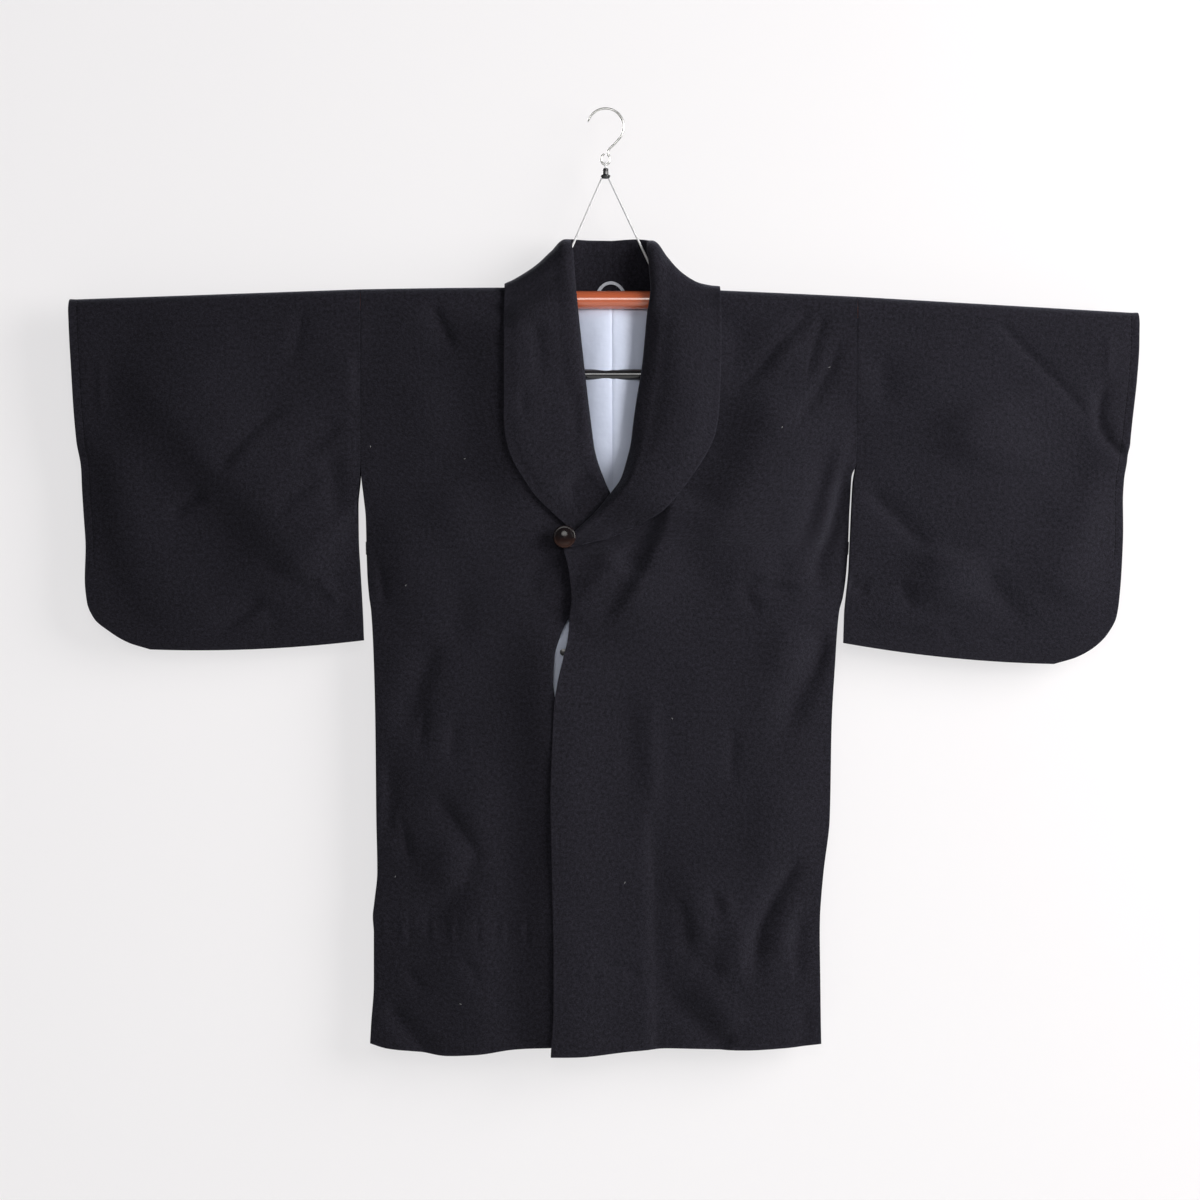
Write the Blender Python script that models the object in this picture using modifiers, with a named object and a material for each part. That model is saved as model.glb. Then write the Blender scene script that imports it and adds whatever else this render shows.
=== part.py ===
"""Kimono coat on its hanger: a wool half coat with a shawl collar, wide sleeves and one large button.

Frame: metres, +Z up. The coat's front faces -Y and +X is to the right of someone who looks at its front;
left and right are used in that sense throughout. The origin is the point of the hanger's wire hook that
bears on whatever it hangs from.

All sizes below are in millimetres. MM turns them into the metres that Blender gets.
"""

import math
from collections import namedtuple

import bmesh
import bpy
from mathutils import Vector

MM = 0.001

# ---------------------------------------------------------------- cloth
WOOL_WALL = 2.0
COLLAR_WALL = 2.4
LINING_WALL = 1.0
SEAM = 0.4            # space between two pieces along a seam
REST = 0.3            # space between two layers that lie on each other
PRESS = 0.25          # extra space where one curved layer lies on another

# ---------------------------------------------------------------- hanger
BAR_RADIUS = 10.8
BAR_ENDS = (-612.0, 606.0)
LOWER_BAR_RADIUS = 6.6
LOWER_BAR_HEIGHT = -318.2
LOWER_BAR_ENDS = (-178.0, 182.0)
CORD_RADIUS = 1.3
CORD_ABOVE_BAR = 0.9      # a slanted cord's end stays this far above the bar at its centre
CORD_TOP_X = 4.3
CORD_LEFT_X = -63.0
CORD_RIGHT_X = 67.6
HOOK_WIRE_RADIUS = 1.3
HOOK_CURVE_RADIUS = 21.8
LOOP_CORD_RADIUS = 1.0
LOOP_SLACK = 0.5          # space between the hook's eye and the cord that goes through it
FERRULE_TOP = -70.6
FERRULE_RADIUS = 3.4
FERRULE_FOOT_TOP = -78.8
FERRULE_FOOT_RADIUS = 5.8
FERRULE_BASE = -82.6

# ---------------------------------------------------------------- coat
WRAP_RADIUS = 13.9        # from the bar's centre line to the middle of the wool that lies over it
CENTRE_BACK_X = 8.0
PANEL_COLUMNS = 9
SHOULDER_SPACE = 0.6      # between the shoulder and the front or the back
SHOULDER_SHORT = 5.0      # a short first and last step round the bar, so that their edges face each other
TOP_TURN = 90.0           # the top of the bar, as an angle round it from the front
BACK_TURN = 180.0
SIDE_ROUND = 90.0         # width over which a panel curves in to its side seam
LAP_FLAT = 88.0           # width of the right front that stands out in full over the left one
LAP_EASE = 110.0          # width over which it comes back
SLEEVE_COLUMNS = 8
SLEEVE_DIP = 5.0          # how far a sleeve's lower edge bows below a straight line
SLEEVE_FOLD_FADE = 5.0    # a sleeve's folds need this much room inside to stand out in full
BACK_HEM = -1120.0        # level, and a little higher than the front hem
LINING_HEM_RISE = 24.0
LINING_COLUMNS_SHORT = 2  # the lining ends this many columns short of the side, where the coat grows thin
LAPEL_STAND_OUT = 2.0     # how far the roll of a lapel springs away from the front, high up
LAPEL_SETTLED = -470.0    # the height at which it has come to lie on the front
LAPEL_SPRING = 200.0      # the height over which it springs out above that
COLLAR_PUFF = (0.35, 0.15)   # how far the collar's fall bows out, as shares of its roll's radius
COLLAR_REACH = (0.3, 0.65)   # where it does so, as shares of the way from roll to edge
STAND_MIDDLE = 0.6

BUTTON_X = -49.0
BUTTON_Z = -513.0
BUTTON_RADIUS = 13.6
STUD_X = -50.6
STUD_Z = -651.0
STUD_RADIUS = 4.0

BarPoint = namedtuple("BarPoint", "x height")
BAR_LINE = [
    BarPoint(-640.0, -243.0),
    BarPoint(-293.0, -230.6),
    BarPoint(-120.0, -228.6),
    BarPoint(60.0, -228.6),
    BarPoint(135.0, -231.8),
    BarPoint(302.0, -239.6),
    BarPoint(400.0, -245.4),
    BarPoint(638.0, -259.2),
]

# Half of the space between front and back, in the middle of the body.
BodyDepth = namedtuple("BodyDepth", "height half_depth")
BODY_DEPTH = [
    BodyDepth(-228.0, 13.9),
    BodyDepth(-500.0, 13.6),
    BodyDepth(-700.0, 12.6),
    BodyDepth(-900.0, 11.6),
    BodyDepth(-1130.0, 11.0),
]

# The armhole seam runs down to 432. Below it the side is open as far as the tack at 527, then sewn.
SideEdge = namedtuple("SideEdge", "height left_x right_x half_depth")
SIDE_EDGE = [
    SideEdge(-216.0, -293.0, 301.6, 13.9),
    SideEdge(-425.0, -293.0, 300.0, 9.1),
    SideEdge(-440.0, -292.4, 294.8, 8.8),
    SideEdge(-464.0, -289.8, 293.4, 6.5),
    SideEdge(-491.0, -287.2, 292.0, 3.6),
    SideEdge(-527.0, -286.5, 290.6, 1.3),
    SideEdge(-560.0, -285.4, 288.2, 1.2),
    SideEdge(-585.0, -283.3, 284.6, 1.2),
    SideEdge(-602.0, -281.0, 280.2, 1.2),
    SideEdge(-663.0, -277.8, 275.4, 1.2),
    SideEdge(-736.0, -276.0, 271.2, 1.2),
    SideEdge(-851.0, -274.8, 268.8, 1.2),
    SideEdge(-914.0, -273.6, 261.5, 1.2),
    SideEdge(-951.0, -277.2, 258.2, 1.2),
    SideEdge(-968.0, -279.0, 257.2, 1.2),
    SideEdge(-988.0, -277.8, 256.9, 1.2),
    SideEdge(-1049.0, -277.8, 257.6, 1.2),
    SideEdge(-1097.0, -281.0, 258.2, 1.2),
    SideEdge(-1126.0, -282.6, 258.8, 1.2),
]

# The front's inner edge: the neck seam down to the button, then the free edge down to the hem.
# lap is how far the right front stands out to clear the left front and the left lapel under it.
FrontEdge = namedtuple("FrontEdge", "height left_x right_x lap")
FRONT_EDGE = [
    FrontEdge(-228.0, -77.5, 93.5, 0.0),
    FrontEdge(-245.0, -76.0, 92.0, 0.0),
    FrontEdge(-262.0, -73.5, 90.0, 0.0),
    FrontEdge(-290.0, -69.0, 87.0, 0.0),
    FrontEdge(-320.0, -64.0, 82.5, 0.0),
    FrontEdge(-350.0, -58.0, 77.0, 0.0),
    FrontEdge(-380.0, -51.0, 70.0, 0.6),
    FrontEdge(-405.0, -44.0, 62.0, 1.8),
    FrontEdge(-425.0, -37.0, 55.0, 3.2),
    FrontEdge(-443.0, -29.0, 47.0, 5.0),
    FrontEdge(-460.0, -19.0, 37.0, 6.2),
    FrontEdge(-478.0, -9.0, 24.0, 6.2),
    FrontEdge(-495.0, -2.0, 7.0, 6.2),
    FrontEdge(-512.0, 0.0, -20.0, 6.2),
    FrontEdge(-526.0, -1.0, -50.0, 6.2),
    FrontEdge(-540.0, -4.0, -46.5, 5.8),
    FrontEdge(-562.0, -12.0, -42.6, 4.8),
    FrontEdge(-587.0, -26.0, -40.2, 3.8),
    FrontEdge(-607.0, -42.0, -42.6, 3.4),
    FrontEdge(-634.0, -54.6, -45.0, 3.4),
    FrontEdge(-656.0, -60.6, -50.0, 3.4),
    FrontEdge(-687.0, -62.2, -57.0, 3.4),
    FrontEdge(-716.0, -58.0, -61.2, 3.4),
    FrontEdge(-760.0, -53.0, -63.4, 3.4),
    FrontEdge(-828.0, -52.0, -65.4, 3.4),
    FrontEdge(-890.0, -52.0, -64.2, 3.4),
    FrontEdge(-951.0, -52.0, -63.0, 3.4),
    FrontEdge(-1010.0, -52.0, -61.8, 3.4),
    FrontEdge(-1073.0, -52.0, -61.8, 3.4),
    FrontEdge(-1130.0, -51.0, -65.0, 3.4),
]

# The largest soft folds of the front layers, each a ridge along a line, standing out by height.
Fold = namedtuple("Fold", "start_x start_z end_x end_z width height")
BODY_FOLDS = [
    Fold(250.0, -660.0, 205.0, -745.0, 30.0, 2.0),
    Fold(232.0, -905.0, 188.0, -1060.0, 34.0, 2.4),
    Fold(88.0, -1060.0, 140.0, -1135.0, 34.0, 2.2),
    Fold(125.0, -560.0, 55.0, -610.0, 28.0, 1.8),
    Fold(-205.0, -650.0, -226.0, -780.0, 30.0, 2.0),
    Fold(-150.0, -880.0, -215.0, -970.0, 32.0, 2.2),
]

SLEEVE_FOLDS = [
    Fold(-565.0, -320.0, -350.0, -570.0, 38.0, 2.6),
    Fold(-345.0, -345.0, -450.0, -425.0, 28.0, 1.8),
    Fold(470.0, -285.0, 600.0, -410.0, 34.0, 2.4),
    Fold(350.0, -440.0, 520.0, -590.0, 36.0, 2.0),
]

HemPoint = namedtuple("HemPoint", "x height")
LEFT_HEM = [
    HemPoint(-283.0, -1120.2),
    HemPoint(-262.0, -1126.0),
    HemPoint(-221.0, -1130.0),
    HemPoint(-190.0, -1133.6),
    HemPoint(-155.0, -1132.0),
    HemPoint(-111.0, -1126.0),
    HemPoint(-51.0, -1121.5),
]
RIGHT_HEM = [
    HemPoint(-65.0, -1133.4),
    HemPoint(-38.0, -1133.4),
    HemPoint(36.0, -1127.6),
    HemPoint(77.0, -1125.2),
    HemPoint(166.0, -1127.4),
    HemPoint(215.0, -1125.2),
    HemPoint(259.0, -1121.0),
]
BACK_LEVELS = [-262.0, -310.0, -360.0, -405.0, -440.0, -480.0, -527.0, -585.0, -640.0, -700.0,
               -775.0, -851.0, -914.0, -968.0, -1049.0, BACK_HEM]

# The neck seam over the bar: turn is the angle round the bar, 0 in front, 90 on top, 180 behind.
NeckSeam = namedtuple("NeckSeam", "turn left_x right_x")
NECK_SEAM = [
    NeckSeam(30.0, -78.0, 94.0),
    NeckSeam(60.0, -78.0, 94.0),
    NeckSeam(90.0, -78.0, 94.0),
    NeckSeam(105.0, -73.0, 89.0),
    NeckSeam(120.0, -65.0, 81.0),
    NeckSeam(150.0, -34.0, 50.0),
    NeckSeam(180.0, CENTRE_BACK_X, CENTRE_BACK_X),
]

# A sleeve from the bar (drop 0) to its lower edge (drop 1). The cuff is open down to drop 0.46 and
# sewn below it; the inner edge is sewn to the body down to 0.5 and open below it.
SleeveRow = namedtuple(
    "SleeveRow", "drop left_cuff left_inner right_cuff right_inner cuff_half mid_half inner_half")
SLEEVE_ROWS = [
    SleeveRow(0.00, -642.4, -293.4, 638.4, 302.0, 13.9, 13.9, 13.9),
    SleeveRow(0.06, -641.4, -293.4, 638.2, 301.8, 13.2, 13.8, 13.3),
    SleeveRow(0.16, -639.4, -293.4, 635.8, 301.4, 11.2, 13.2, 12.3),
    SleeveRow(0.28, -637.0, -293.4, 630.8, 301.0, 8.2, 12.6, 11.1),
    SleeveRow(0.38, -634.0, -293.4, 626.6, 300.6, 4.6, 11.8, 10.1),
    SleeveRow(0.46, -629.0, -293.4, 621.8, 300.4, 1.3, 11.0, 9.3),
    SleeveRow(0.52, -628.0, -294.2, 620.6, 297.0, 1.2, 10.4, 8.8),
    SleeveRow(0.60, -626.0, -297.0, 620.9, 295.2, 1.2, 9.6, 8.2),
    SleeveRow(0.70, -623.6, -296.6, 619.5, 293.4, 1.2, 8.4, 7.6),
    SleeveRow(0.79, -624.6, -294.6, 617.0, 291.6, 1.2, 7.0, 6.8),
    SleeveRow(0.86, -622.0, -292.8, 613.0, 288.6, 1.2, 5.4, 5.6),
    SleeveRow(0.91, -613.0, -291.6, 602.5, 286.6, 1.2, 4.2, 4.2),
    SleeveRow(0.945, -596.0, -290.8, 589.0, 286.0, 1.2, 3.0, 2.8),
    SleeveRow(0.98, -572.0, -290.2, 565.0, 285.5, 1.2, 1.8, 1.6),
    SleeveRow(1.00, -546.0, -289.8, 538.0, 285.2, 1.2, 1.2, 1.2),
]
SLEEVE_BACK_SKIP = (0.06, 0.38, 0.60, 0.945)
SleeveFrame = namedtuple("SleeveFrame", "inner_top inner_bottom cuff_top cuff_bottom")
LEFT_SLEEVE_FRAME = SleeveFrame(-230.6, -637.0, -243.0, -648.0)
RIGHT_SLEEVE_FRAME = SleeveFrame(-239.6, -640.2, -259.2, -665.4)
WRAP_TURNS = [30.0, 60.0, 90.0, 120.0, 150.0]

# The collar, one row for each section, from the centre back over the shoulder to the button.
# seam: where it is sewn on; roll: its turned edge; edge: its free outer edge. roll_y and edge_y are
# given behind and over the shoulder; in front (None) they follow the front panel under the collar.
CollarSection = namedtuple(
    "CollarSection", "turn height roll_x roll_y roll_z edge_x edge_y edge_z roll_radius")
LEFT_COLLAR = [
    CollarSection(180.0, None, 8.0, 15.5, -156.8, 8.0, 19.5, -252.0, 3.0),
    CollarSection(150.0, None, -24.0, 13.5, -156.4, -50.0, 19.2, -250.0, 3.0),
    CollarSection(120.0, None, -37.0, 9.0, -156.0, -90.0, 18.4, -241.0, 3.0),
    CollarSection(105.0, None, -41.0, 4.8, -156.4, -111.0, 16.8, -223.5, 3.0),
    CollarSection(97.5, None, -42.2, 2.4, -157.0, -117.0, 11.4, -214.6, 3.0),
    CollarSection(90.0, None, -42.6, 0.0, -157.6, -119.8, 1.0, -210.8, 3.0),
    CollarSection(60.0, None, -42.0, -7.5, -159.5, -120.2, -10.0, -213.6, 3.0),
    CollarSection(30.0, None, -40.8, -14.0, -164.5, -120.4, -15.2, -219.8, 3.0),
    CollarSection(None, -228.0, -39.5, -18.5, -173.0, -120.6, -16.9, -229.0, 3.0),
    CollarSection(None, -245.0, -38.2, -20.0, -191.0, -120.6, None, -247.0, 3.0),
    CollarSection(None, -262.0, -36.6, None, -212.0, -120.6, None, -266.0, 3.0),
    CollarSection(None, -290.0, -33.0, None, -249.0, -120.6, None, -296.0, 3.0),
    CollarSection(None, -320.0, -29.2, None, -285.0, -120.6, None, -326.0, 3.0),
    CollarSection(None, -350.0, -25.2, None, -321.0, -120.6, None, -354.0, 3.0),
    CollarSection(None, -380.0, -21.0, None, -357.0, -120.4, None, -381.0, 2.8),
    CollarSection(None, -405.0, -17.0, None, -388.0, -116.4, None, -405.0, 2.6),
    CollarSection(None, -425.0, -13.8, None, -411.0, -108.6, None, -425.4, 2.3),
    CollarSection(None, -443.0, -7.8, None, -431.0, -96.6, None, -445.0, 2.0),
    CollarSection(None, -460.0, -1.6, None, -447.0, -84.0, None, -463.0, 1.7),
    CollarSection(None, -478.0, 6.0, None, -465.0, -63.0, None, -484.2, 1.6),
    CollarSection(None, -495.0, 11.0, None, -484.0, -46.0, None, -500.0, 1.6),
    CollarSection(None, -512.0, 11.0, None, -503.0, -30.0, None, -513.0, 1.6),
    CollarSection(None, -526.0, 8.0, None, -519.0, -14.0, None, -524.0, 1.6),
]
RIGHT_COLLAR = [
    CollarSection(180.0, None, 8.0, 15.5, -156.8, 8.0, 19.5, -252.0, 3.0),
    CollarSection(150.0, None, 36.0, 13.5, -155.2, 66.0, 19.2, -251.0, 3.0),
    CollarSection(120.0, None, 46.0, 9.0, -156.2, 107.0, 18.4, -243.0, 3.0),
    CollarSection(105.0, None, 50.0, 4.8, -158.0, 128.0, 16.8, -226.6, 3.0),
    CollarSection(97.5, None, 51.0, 2.4, -158.8, 134.0, 11.4, -217.8, 3.0),
    CollarSection(90.0, None, 51.4, 0.0, -159.8, 136.4, 1.0, -214.2, 3.0),
    CollarSection(60.0, None, 51.0, -7.5, -162.4, 137.0, -10.0, -217.0, 3.0),
    CollarSection(30.0, None, 50.4, -14.0, -168.0, 137.6, -15.4, -223.4, 3.0),
    CollarSection(None, -228.0, 51.4, -18.5, -178.0, 138.0, -16.9, -232.0, 3.0),
    CollarSection(None, -245.0, 53.0, -20.0, -197.0, 138.0, None, -250.0, 3.0),
    CollarSection(None, -262.0, 54.4, None, -217.0, 138.0, None, -268.0, 3.0),
    CollarSection(None, -290.0, 50.4, None, -248.0, 137.6, None, -297.0, 3.0),
    CollarSection(None, -320.0, 47.4, None, -281.0, 136.6, None, -326.0, 3.0),
    CollarSection(None, -350.0, 44.0, None, -313.0, 135.4, None, -353.0, 3.0),
    CollarSection(None, -380.0, 38.6, None, -345.0, 132.6, None, -380.0, 2.8),
    CollarSection(None, -405.0, 34.0, None, -377.0, 126.0, None, -402.0, 2.6),
    CollarSection(None, -425.0, 31.0, None, -402.0, 116.0, None, -420.6, 2.3),
    CollarSection(None, -443.0, 25.6, None, -424.0, 103.0, None, -440.0, 2.0),
    CollarSection(None, -460.0, 18.6, None, -445.0, 88.2, None, -460.4, 1.8),
    CollarSection(None, -478.0, 5.4, None, -463.2, 70.0, None, -480.6, 1.6),
    CollarSection(None, -495.0, -11.4, None, -484.0, 50.4, None, -492.6, 1.6),
    CollarSection(None, -512.0, -33.0, None, -504.5, 14.0, None, -511.0, 1.6),
    CollarSection(None, -526.0, -55.0, None, -521.5, -40.0, None, -525.5, 1.6),
]


# ---------------------------------------------------------------- reading the tables
def between(table, column, at):
    """Read a column of a table by straight lines between its rows; the first column is the key."""
    rows = sorted(table, key=lambda row: row[0])
    if at <= rows[0][0]:
        return getattr(rows[0], column)
    for low, high in zip(rows, rows[1:]):
        if at <= high[0]:
            share = (at - low[0]) / (high[0] - low[0])
            return getattr(low, column) + share * (getattr(high, column) - getattr(low, column))
    return getattr(rows[-1], column)


def mix(a, b, share):
    return a + (b - a) * share


def ease(share):
    """0 to 1 with a level start and end."""
    share = min(1.0, max(0.0, share))
    return share * share * (3.0 - 2.0 * share)


def bar_height(x):
    return between(BAR_LINE, "height", x)


# ---------------------------------------------------------------- the body's surfaces
def half_depth(side, x, z):
    """How far the middle of the wool lies from the coat's middle plane at a place on the body."""
    to_side = abs(between(SIDE_EDGE, side + "_x", z) - x)
    at_side = between(SIDE_EDGE, "half_depth", z)
    in_middle = between(BODY_DEPTH, "half_depth", z)
    return mix(at_side, in_middle, math.sin(0.5 * math.pi * min(1.0, to_side / SIDE_ROUND)))


def fold_relief(folds, x, z):
    """How far the soft folds stand out at a place."""
    relief = 0.0
    for fold in folds:
        start = Vector((fold.start_x, fold.start_z))
        run = Vector((fold.end_x, fold.end_z)) - start
        share = min(1.0, max(0.0, (Vector((x, z)) - start).dot(run) / run.length_squared))
        away = (Vector((x, z)) - start - run * share).length / fold.width
        relief += fold.height * math.exp(-away * away)
    return relief


def front_y(side, x, z):
    """The middle of the front panel's wool; the right front laps over the left one."""
    y = -half_depth(side, x, z) - fold_relief(BODY_FOLDS, x, z)
    if side == "right":
        from_edge = x - between(FRONT_EDGE, "right_x", z)
        y -= between(FRONT_EDGE, "lap", z) * (1.0 - ease((from_edge - LAP_FLAT) / LAP_EASE))
    return y


def hem_height(side, x, front):
    """The lower edge of a front or of the back."""
    if not front:
        return BACK_HEM
    return between(LEFT_HEM if side == "left" else RIGHT_HEM, "height", x)


def column_shares():
    """Shares across a panel from its inner edge to its side edge, closer together near the side."""
    last = PANEL_COLUMNS - 1
    return [math.sin(0.5 * math.pi * i / last) ** 0.85 for i in range(PANEL_COLUMNS)]


def seam_step(side):
    """Which way the side seam lies, as a sign of X."""
    return -1.0 if side == "left" else 1.0


def panel_row(side, inner_x, inner_z, front):
    """One row of points across a front or a back, at the same share of the drop in each column."""
    drop = (inner_z - bar_height(inner_x)) / (hem_height(side, inner_x, front) - bar_height(inner_x))
    outer_x = between(SIDE_EDGE, side + "_x", inner_z)
    for _ in range(2):
        outer_z = mix(bar_height(outer_x), hem_height(side, outer_x, front), drop)
        outer_x = between(SIDE_EDGE, side + "_x", outer_z)
    row = []
    for share in column_shares():
        x = mix(inner_x, outer_x, share)
        z = mix(bar_height(x), hem_height(side, x, front), drop)
        y = front_y(side, x, z) if front else half_depth(side, x, z)
        row.append(Vector((x, y, z)))
    return row


def wrap_row(side, neck, radius):
    """One row of points along the bar, at one angle round it."""
    inner_x = neck.left_x if side == "left" else neck.right_x
    inner_x += seam_step(side) * 0.5 * SEAM
    outer_x = between(SIDE_EDGE, side + "_x", SIDE_EDGE[0].height)
    angle = math.radians(neck.turn)
    row = []
    for share in column_shares():
        x = mix(inner_x, outer_x, share)
        row.append(Vector((x, -radius * math.cos(angle), bar_height(x) + radius * math.sin(angle))))
    return row


def front_rows(side):
    """Rows from the front hem up to the bar."""
    rows = []
    for edge in FRONT_EDGE:
        inner_x = edge.left_x if side == "left" else edge.right_x
        inner_z = max(edge.height, hem_height(side, inner_x, True))
        rows.append(panel_row(side, inner_x, min(inner_z, bar_height(inner_x)), True))
    rows.reverse()
    return rows


def back_rows(side, hem_rise):
    """Rows from behind the bar down to the back hem."""
    inner_x = CENTRE_BACK_X + seam_step(side) * 0.5 * SEAM
    rows = []
    for level in BACK_LEVELS:
        rows.append(panel_row(side, inner_x, max(level, BACK_HEM + hem_rise), False))
    return rows


# ---------------------------------------------------------------- meshes and materials
def material(name, colour, roughness, metallic):
    finish = bpy.data.materials.new(name)
    finish.use_nodes = True
    shader = finish.node_tree.nodes["Principled BSDF"]
    shader.inputs["Base Color"].default_value = (*colour, 1.0)
    shader.inputs["Roughness"].default_value = roughness
    shader.inputs["Metallic"].default_value = metallic
    return finish


def place(name, data, finish, collection):
    """Make an object from finished data, with its material, in the coat's collection."""
    piece = bpy.data.objects.new(name, data)
    piece.data.materials.append(finish)
    collection.objects.link(piece)
    return piece


def cloth(name, rows, wall, finish, collection):
    """A panel: rows of points joined into an open surface, which Solidify gives its wall."""
    sheet = bmesh.new()
    grid = [[sheet.verts.new(point * MM) for point in row] for row in rows]
    for lower, upper in zip(grid, grid[1:]):
        for i in range(len(lower) - 1):
            sheet.faces.new((lower[i], lower[i + 1], upper[i + 1], upper[i]))
    mesh = bpy.data.meshes.new(name)
    sheet.to_mesh(mesh)
    sheet.free()
    piece = place(name, mesh, finish, collection)
    shell = piece.modifiers.new("wall", "SOLIDIFY")
    shell.thickness = wall * MM
    shell.offset = 0.0
    return piece


def round_wire(name, route, radius, finish, collection, resolution=2, taper=None):
    """A bar, cord or wire: a poly line with a round bevel and filled ends; taper scales its radius."""
    curve = bpy.data.curves.new(name, "CURVE")
    curve.dimensions = "3D"
    curve.bevel_depth = radius * MM
    curve.bevel_resolution = resolution
    curve.use_fill_caps = True
    line = curve.splines.new("POLY")
    line.points.add(len(route) - 1)
    for point, stop, scale in zip(line.points, route, taper or [1.0] * len(route)):
        point.co = (*(Vector(stop) * MM), 1.0)
        point.radius = scale
    return place(name, curve, finish, collection)


def turned(name, profile, steps, finish, collection):
    """A turned piece: a profile at +X, from top to bottom, spun round its own Z."""
    mesh = bpy.data.meshes.new(name)
    points = [(radius * MM, 0.0, height * MM) for radius, height in profile]
    mesh.from_pydata(points, [(i, i + 1) for i in range(len(points) - 1)], [])
    piece = place(name, mesh, finish, collection)
    spin = piece.modifiers.new("turn", "SCREW")
    spin.steps = steps
    spin.render_steps = steps
    spin.use_merge_vertices = True
    spin.merge_threshold = 0.00001
    return piece


# ---------------------------------------------------------------- the coat
def neck_at(turn):
    return NeckSeam(turn, between(NECK_SEAM, "left_x", turn), between(NECK_SEAM, "right_x", turn))


def body_panel(side, wool, collection):
    """A front, a shoulder that bends over the bar, and a back, all cut in one length of wool.

    They are three solids so that the collision pieces of each stay in its own wall and leave the
    inside of the coat free.
    """
    gap = math.degrees(SHOULDER_SPACE / WRAP_RADIUS)
    turns = [gap, gap + SHOULDER_SHORT, *(neck.turn for neck in NECK_SEAM[:-1])]
    turns += [BACK_TURN - gap - SHOULDER_SHORT, BACK_TURN - gap]
    shoulder = [wrap_row(side, neck_at(turn), WRAP_RADIUS) for turn in turns]
    back = [wrap_row(side, neck_at(BACK_TURN), WRAP_RADIUS)] + back_rows(side, 0.0)
    cloth("front_" + side, front_rows(side), WOOL_WALL, wool, collection)
    cloth("shoulder_" + side, shoulder, WOOL_WALL, wool, collection)
    cloth("back_" + side, back, WOOL_WALL, wool, collection)


def lining_panel(side, silk, collection):
    """The back lining: the back panel's own points moved in, from the top of the bar down."""
    inset = 0.5 * WOOL_WALL + REST + 0.5 * LINING_WALL
    rows = [wrap_row(side, neck, WRAP_RADIUS - inset) for neck in NECK_SEAM if neck.turn >= TOP_TURN]
    for row in back_rows(side, LINING_HEM_RISE):
        rows.append([point - Vector((0.0, inset, 0.0)) for point in row])
    rows = [row[:-LINING_COLUMNS_SHORT] for row in rows]
    return cloth("lining_" + side, rows, LINING_WALL, silk, collection)


def sleeve(side, wool, collection):
    """One folded piece: front from the lower edge up, round the bar, back down to the lower edge."""
    frame = LEFT_SLEEVE_FRAME if side == "left" else RIGHT_SLEEVE_FRAME

    def row_at(section, facing):
        cuff_x = getattr(section, side + "_cuff")
        inner_x = getattr(section, side + "_inner")
        row = []
        for i in range(SLEEVE_COLUMNS):
            share = i / (SLEEVE_COLUMNS - 1)
            x = mix(inner_x, cuff_x, share)
            top = mix(frame.inner_top, frame.cuff_top, share)
            bow = 4.0 * share * (1.0 - share)
            bottom = mix(frame.inner_bottom, frame.cuff_bottom, share) - SLEEVE_DIP * bow
            middle_bulge = section.mid_half - 0.5 * (section.inner_half + section.cuff_half)
            half = mix(section.inner_half, section.cuff_half, share) + middle_bulge * bow
            z = mix(top, bottom, section.drop)
            if facing < 0.0 and section.drop > 0.0:
                half += fold_relief(SLEEVE_FOLDS, x, z) * ease((half - WOOL_WALL) / SLEEVE_FOLD_FADE)
            row.append(Vector((x, facing * half, z)))
        return row

    def wrap_at(turn):
        angle = math.radians(turn)
        first = SLEEVE_ROWS[0]
        row = []
        for point in row_at(first, 0.0):
            row.append(point + WRAP_RADIUS * Vector((0.0, -math.cos(angle), math.sin(angle))))
        return row

    rows = [row_at(section, -1.0) for section in reversed(SLEEVE_ROWS)]
    rows += [wrap_at(turn) for turn in WRAP_TURNS]
    rows += [row_at(section, 1.0) for section in SLEEVE_ROWS if section.drop not in SLEEVE_BACK_SKIP]
    return cloth("sleeve_" + side, rows, WOOL_WALL, wool, collection)


def panel_normal(section):
    """The way the body faces under a collar section, where the collar is sewn to it."""
    angle = math.radians(section.turn or 0.0)
    return Vector((0.0, -math.cos(angle), math.sin(angle)))


def collar_points(side, section):
    """The seam, the roll and the free edge of one collar section, as points."""
    step = seam_step(side)
    on_panel = 0.5 * WOOL_WALL + REST + PRESS + 0.5 * COLLAR_WALL
    if section.turn is not None:
        seam_x = between(NECK_SEAM, side + "_x", section.turn)
        seam = Vector((seam_x, 0.0, bar_height(seam_x))) + WRAP_RADIUS * panel_normal(section)
    else:
        seam_x = between(FRONT_EDGE, side + "_x", section.height)
        seam = Vector((seam_x, front_y(side, seam_x, section.height), section.height))
    roll = Vector((section.roll_x, section.roll_y or 0.0, section.roll_z))
    edge = Vector((section.edge_x, section.edge_y or 0.0, section.edge_z))
    if section.roll_y is None:
        stand_out = LAPEL_STAND_OUT * ease((section.height - LAPEL_SETTLED) / LAPEL_SPRING)
        roll.y = seam.y - section.roll_radius - stand_out
    if section.edge_y is None:
        edge.y = front_y(side, edge.x, edge.z) - on_panel
    if section.turn == 180.0:
        for point in (seam, roll, edge):
            point.x += step * 0.5 * SEAM
    return seam, roll, edge


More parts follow.
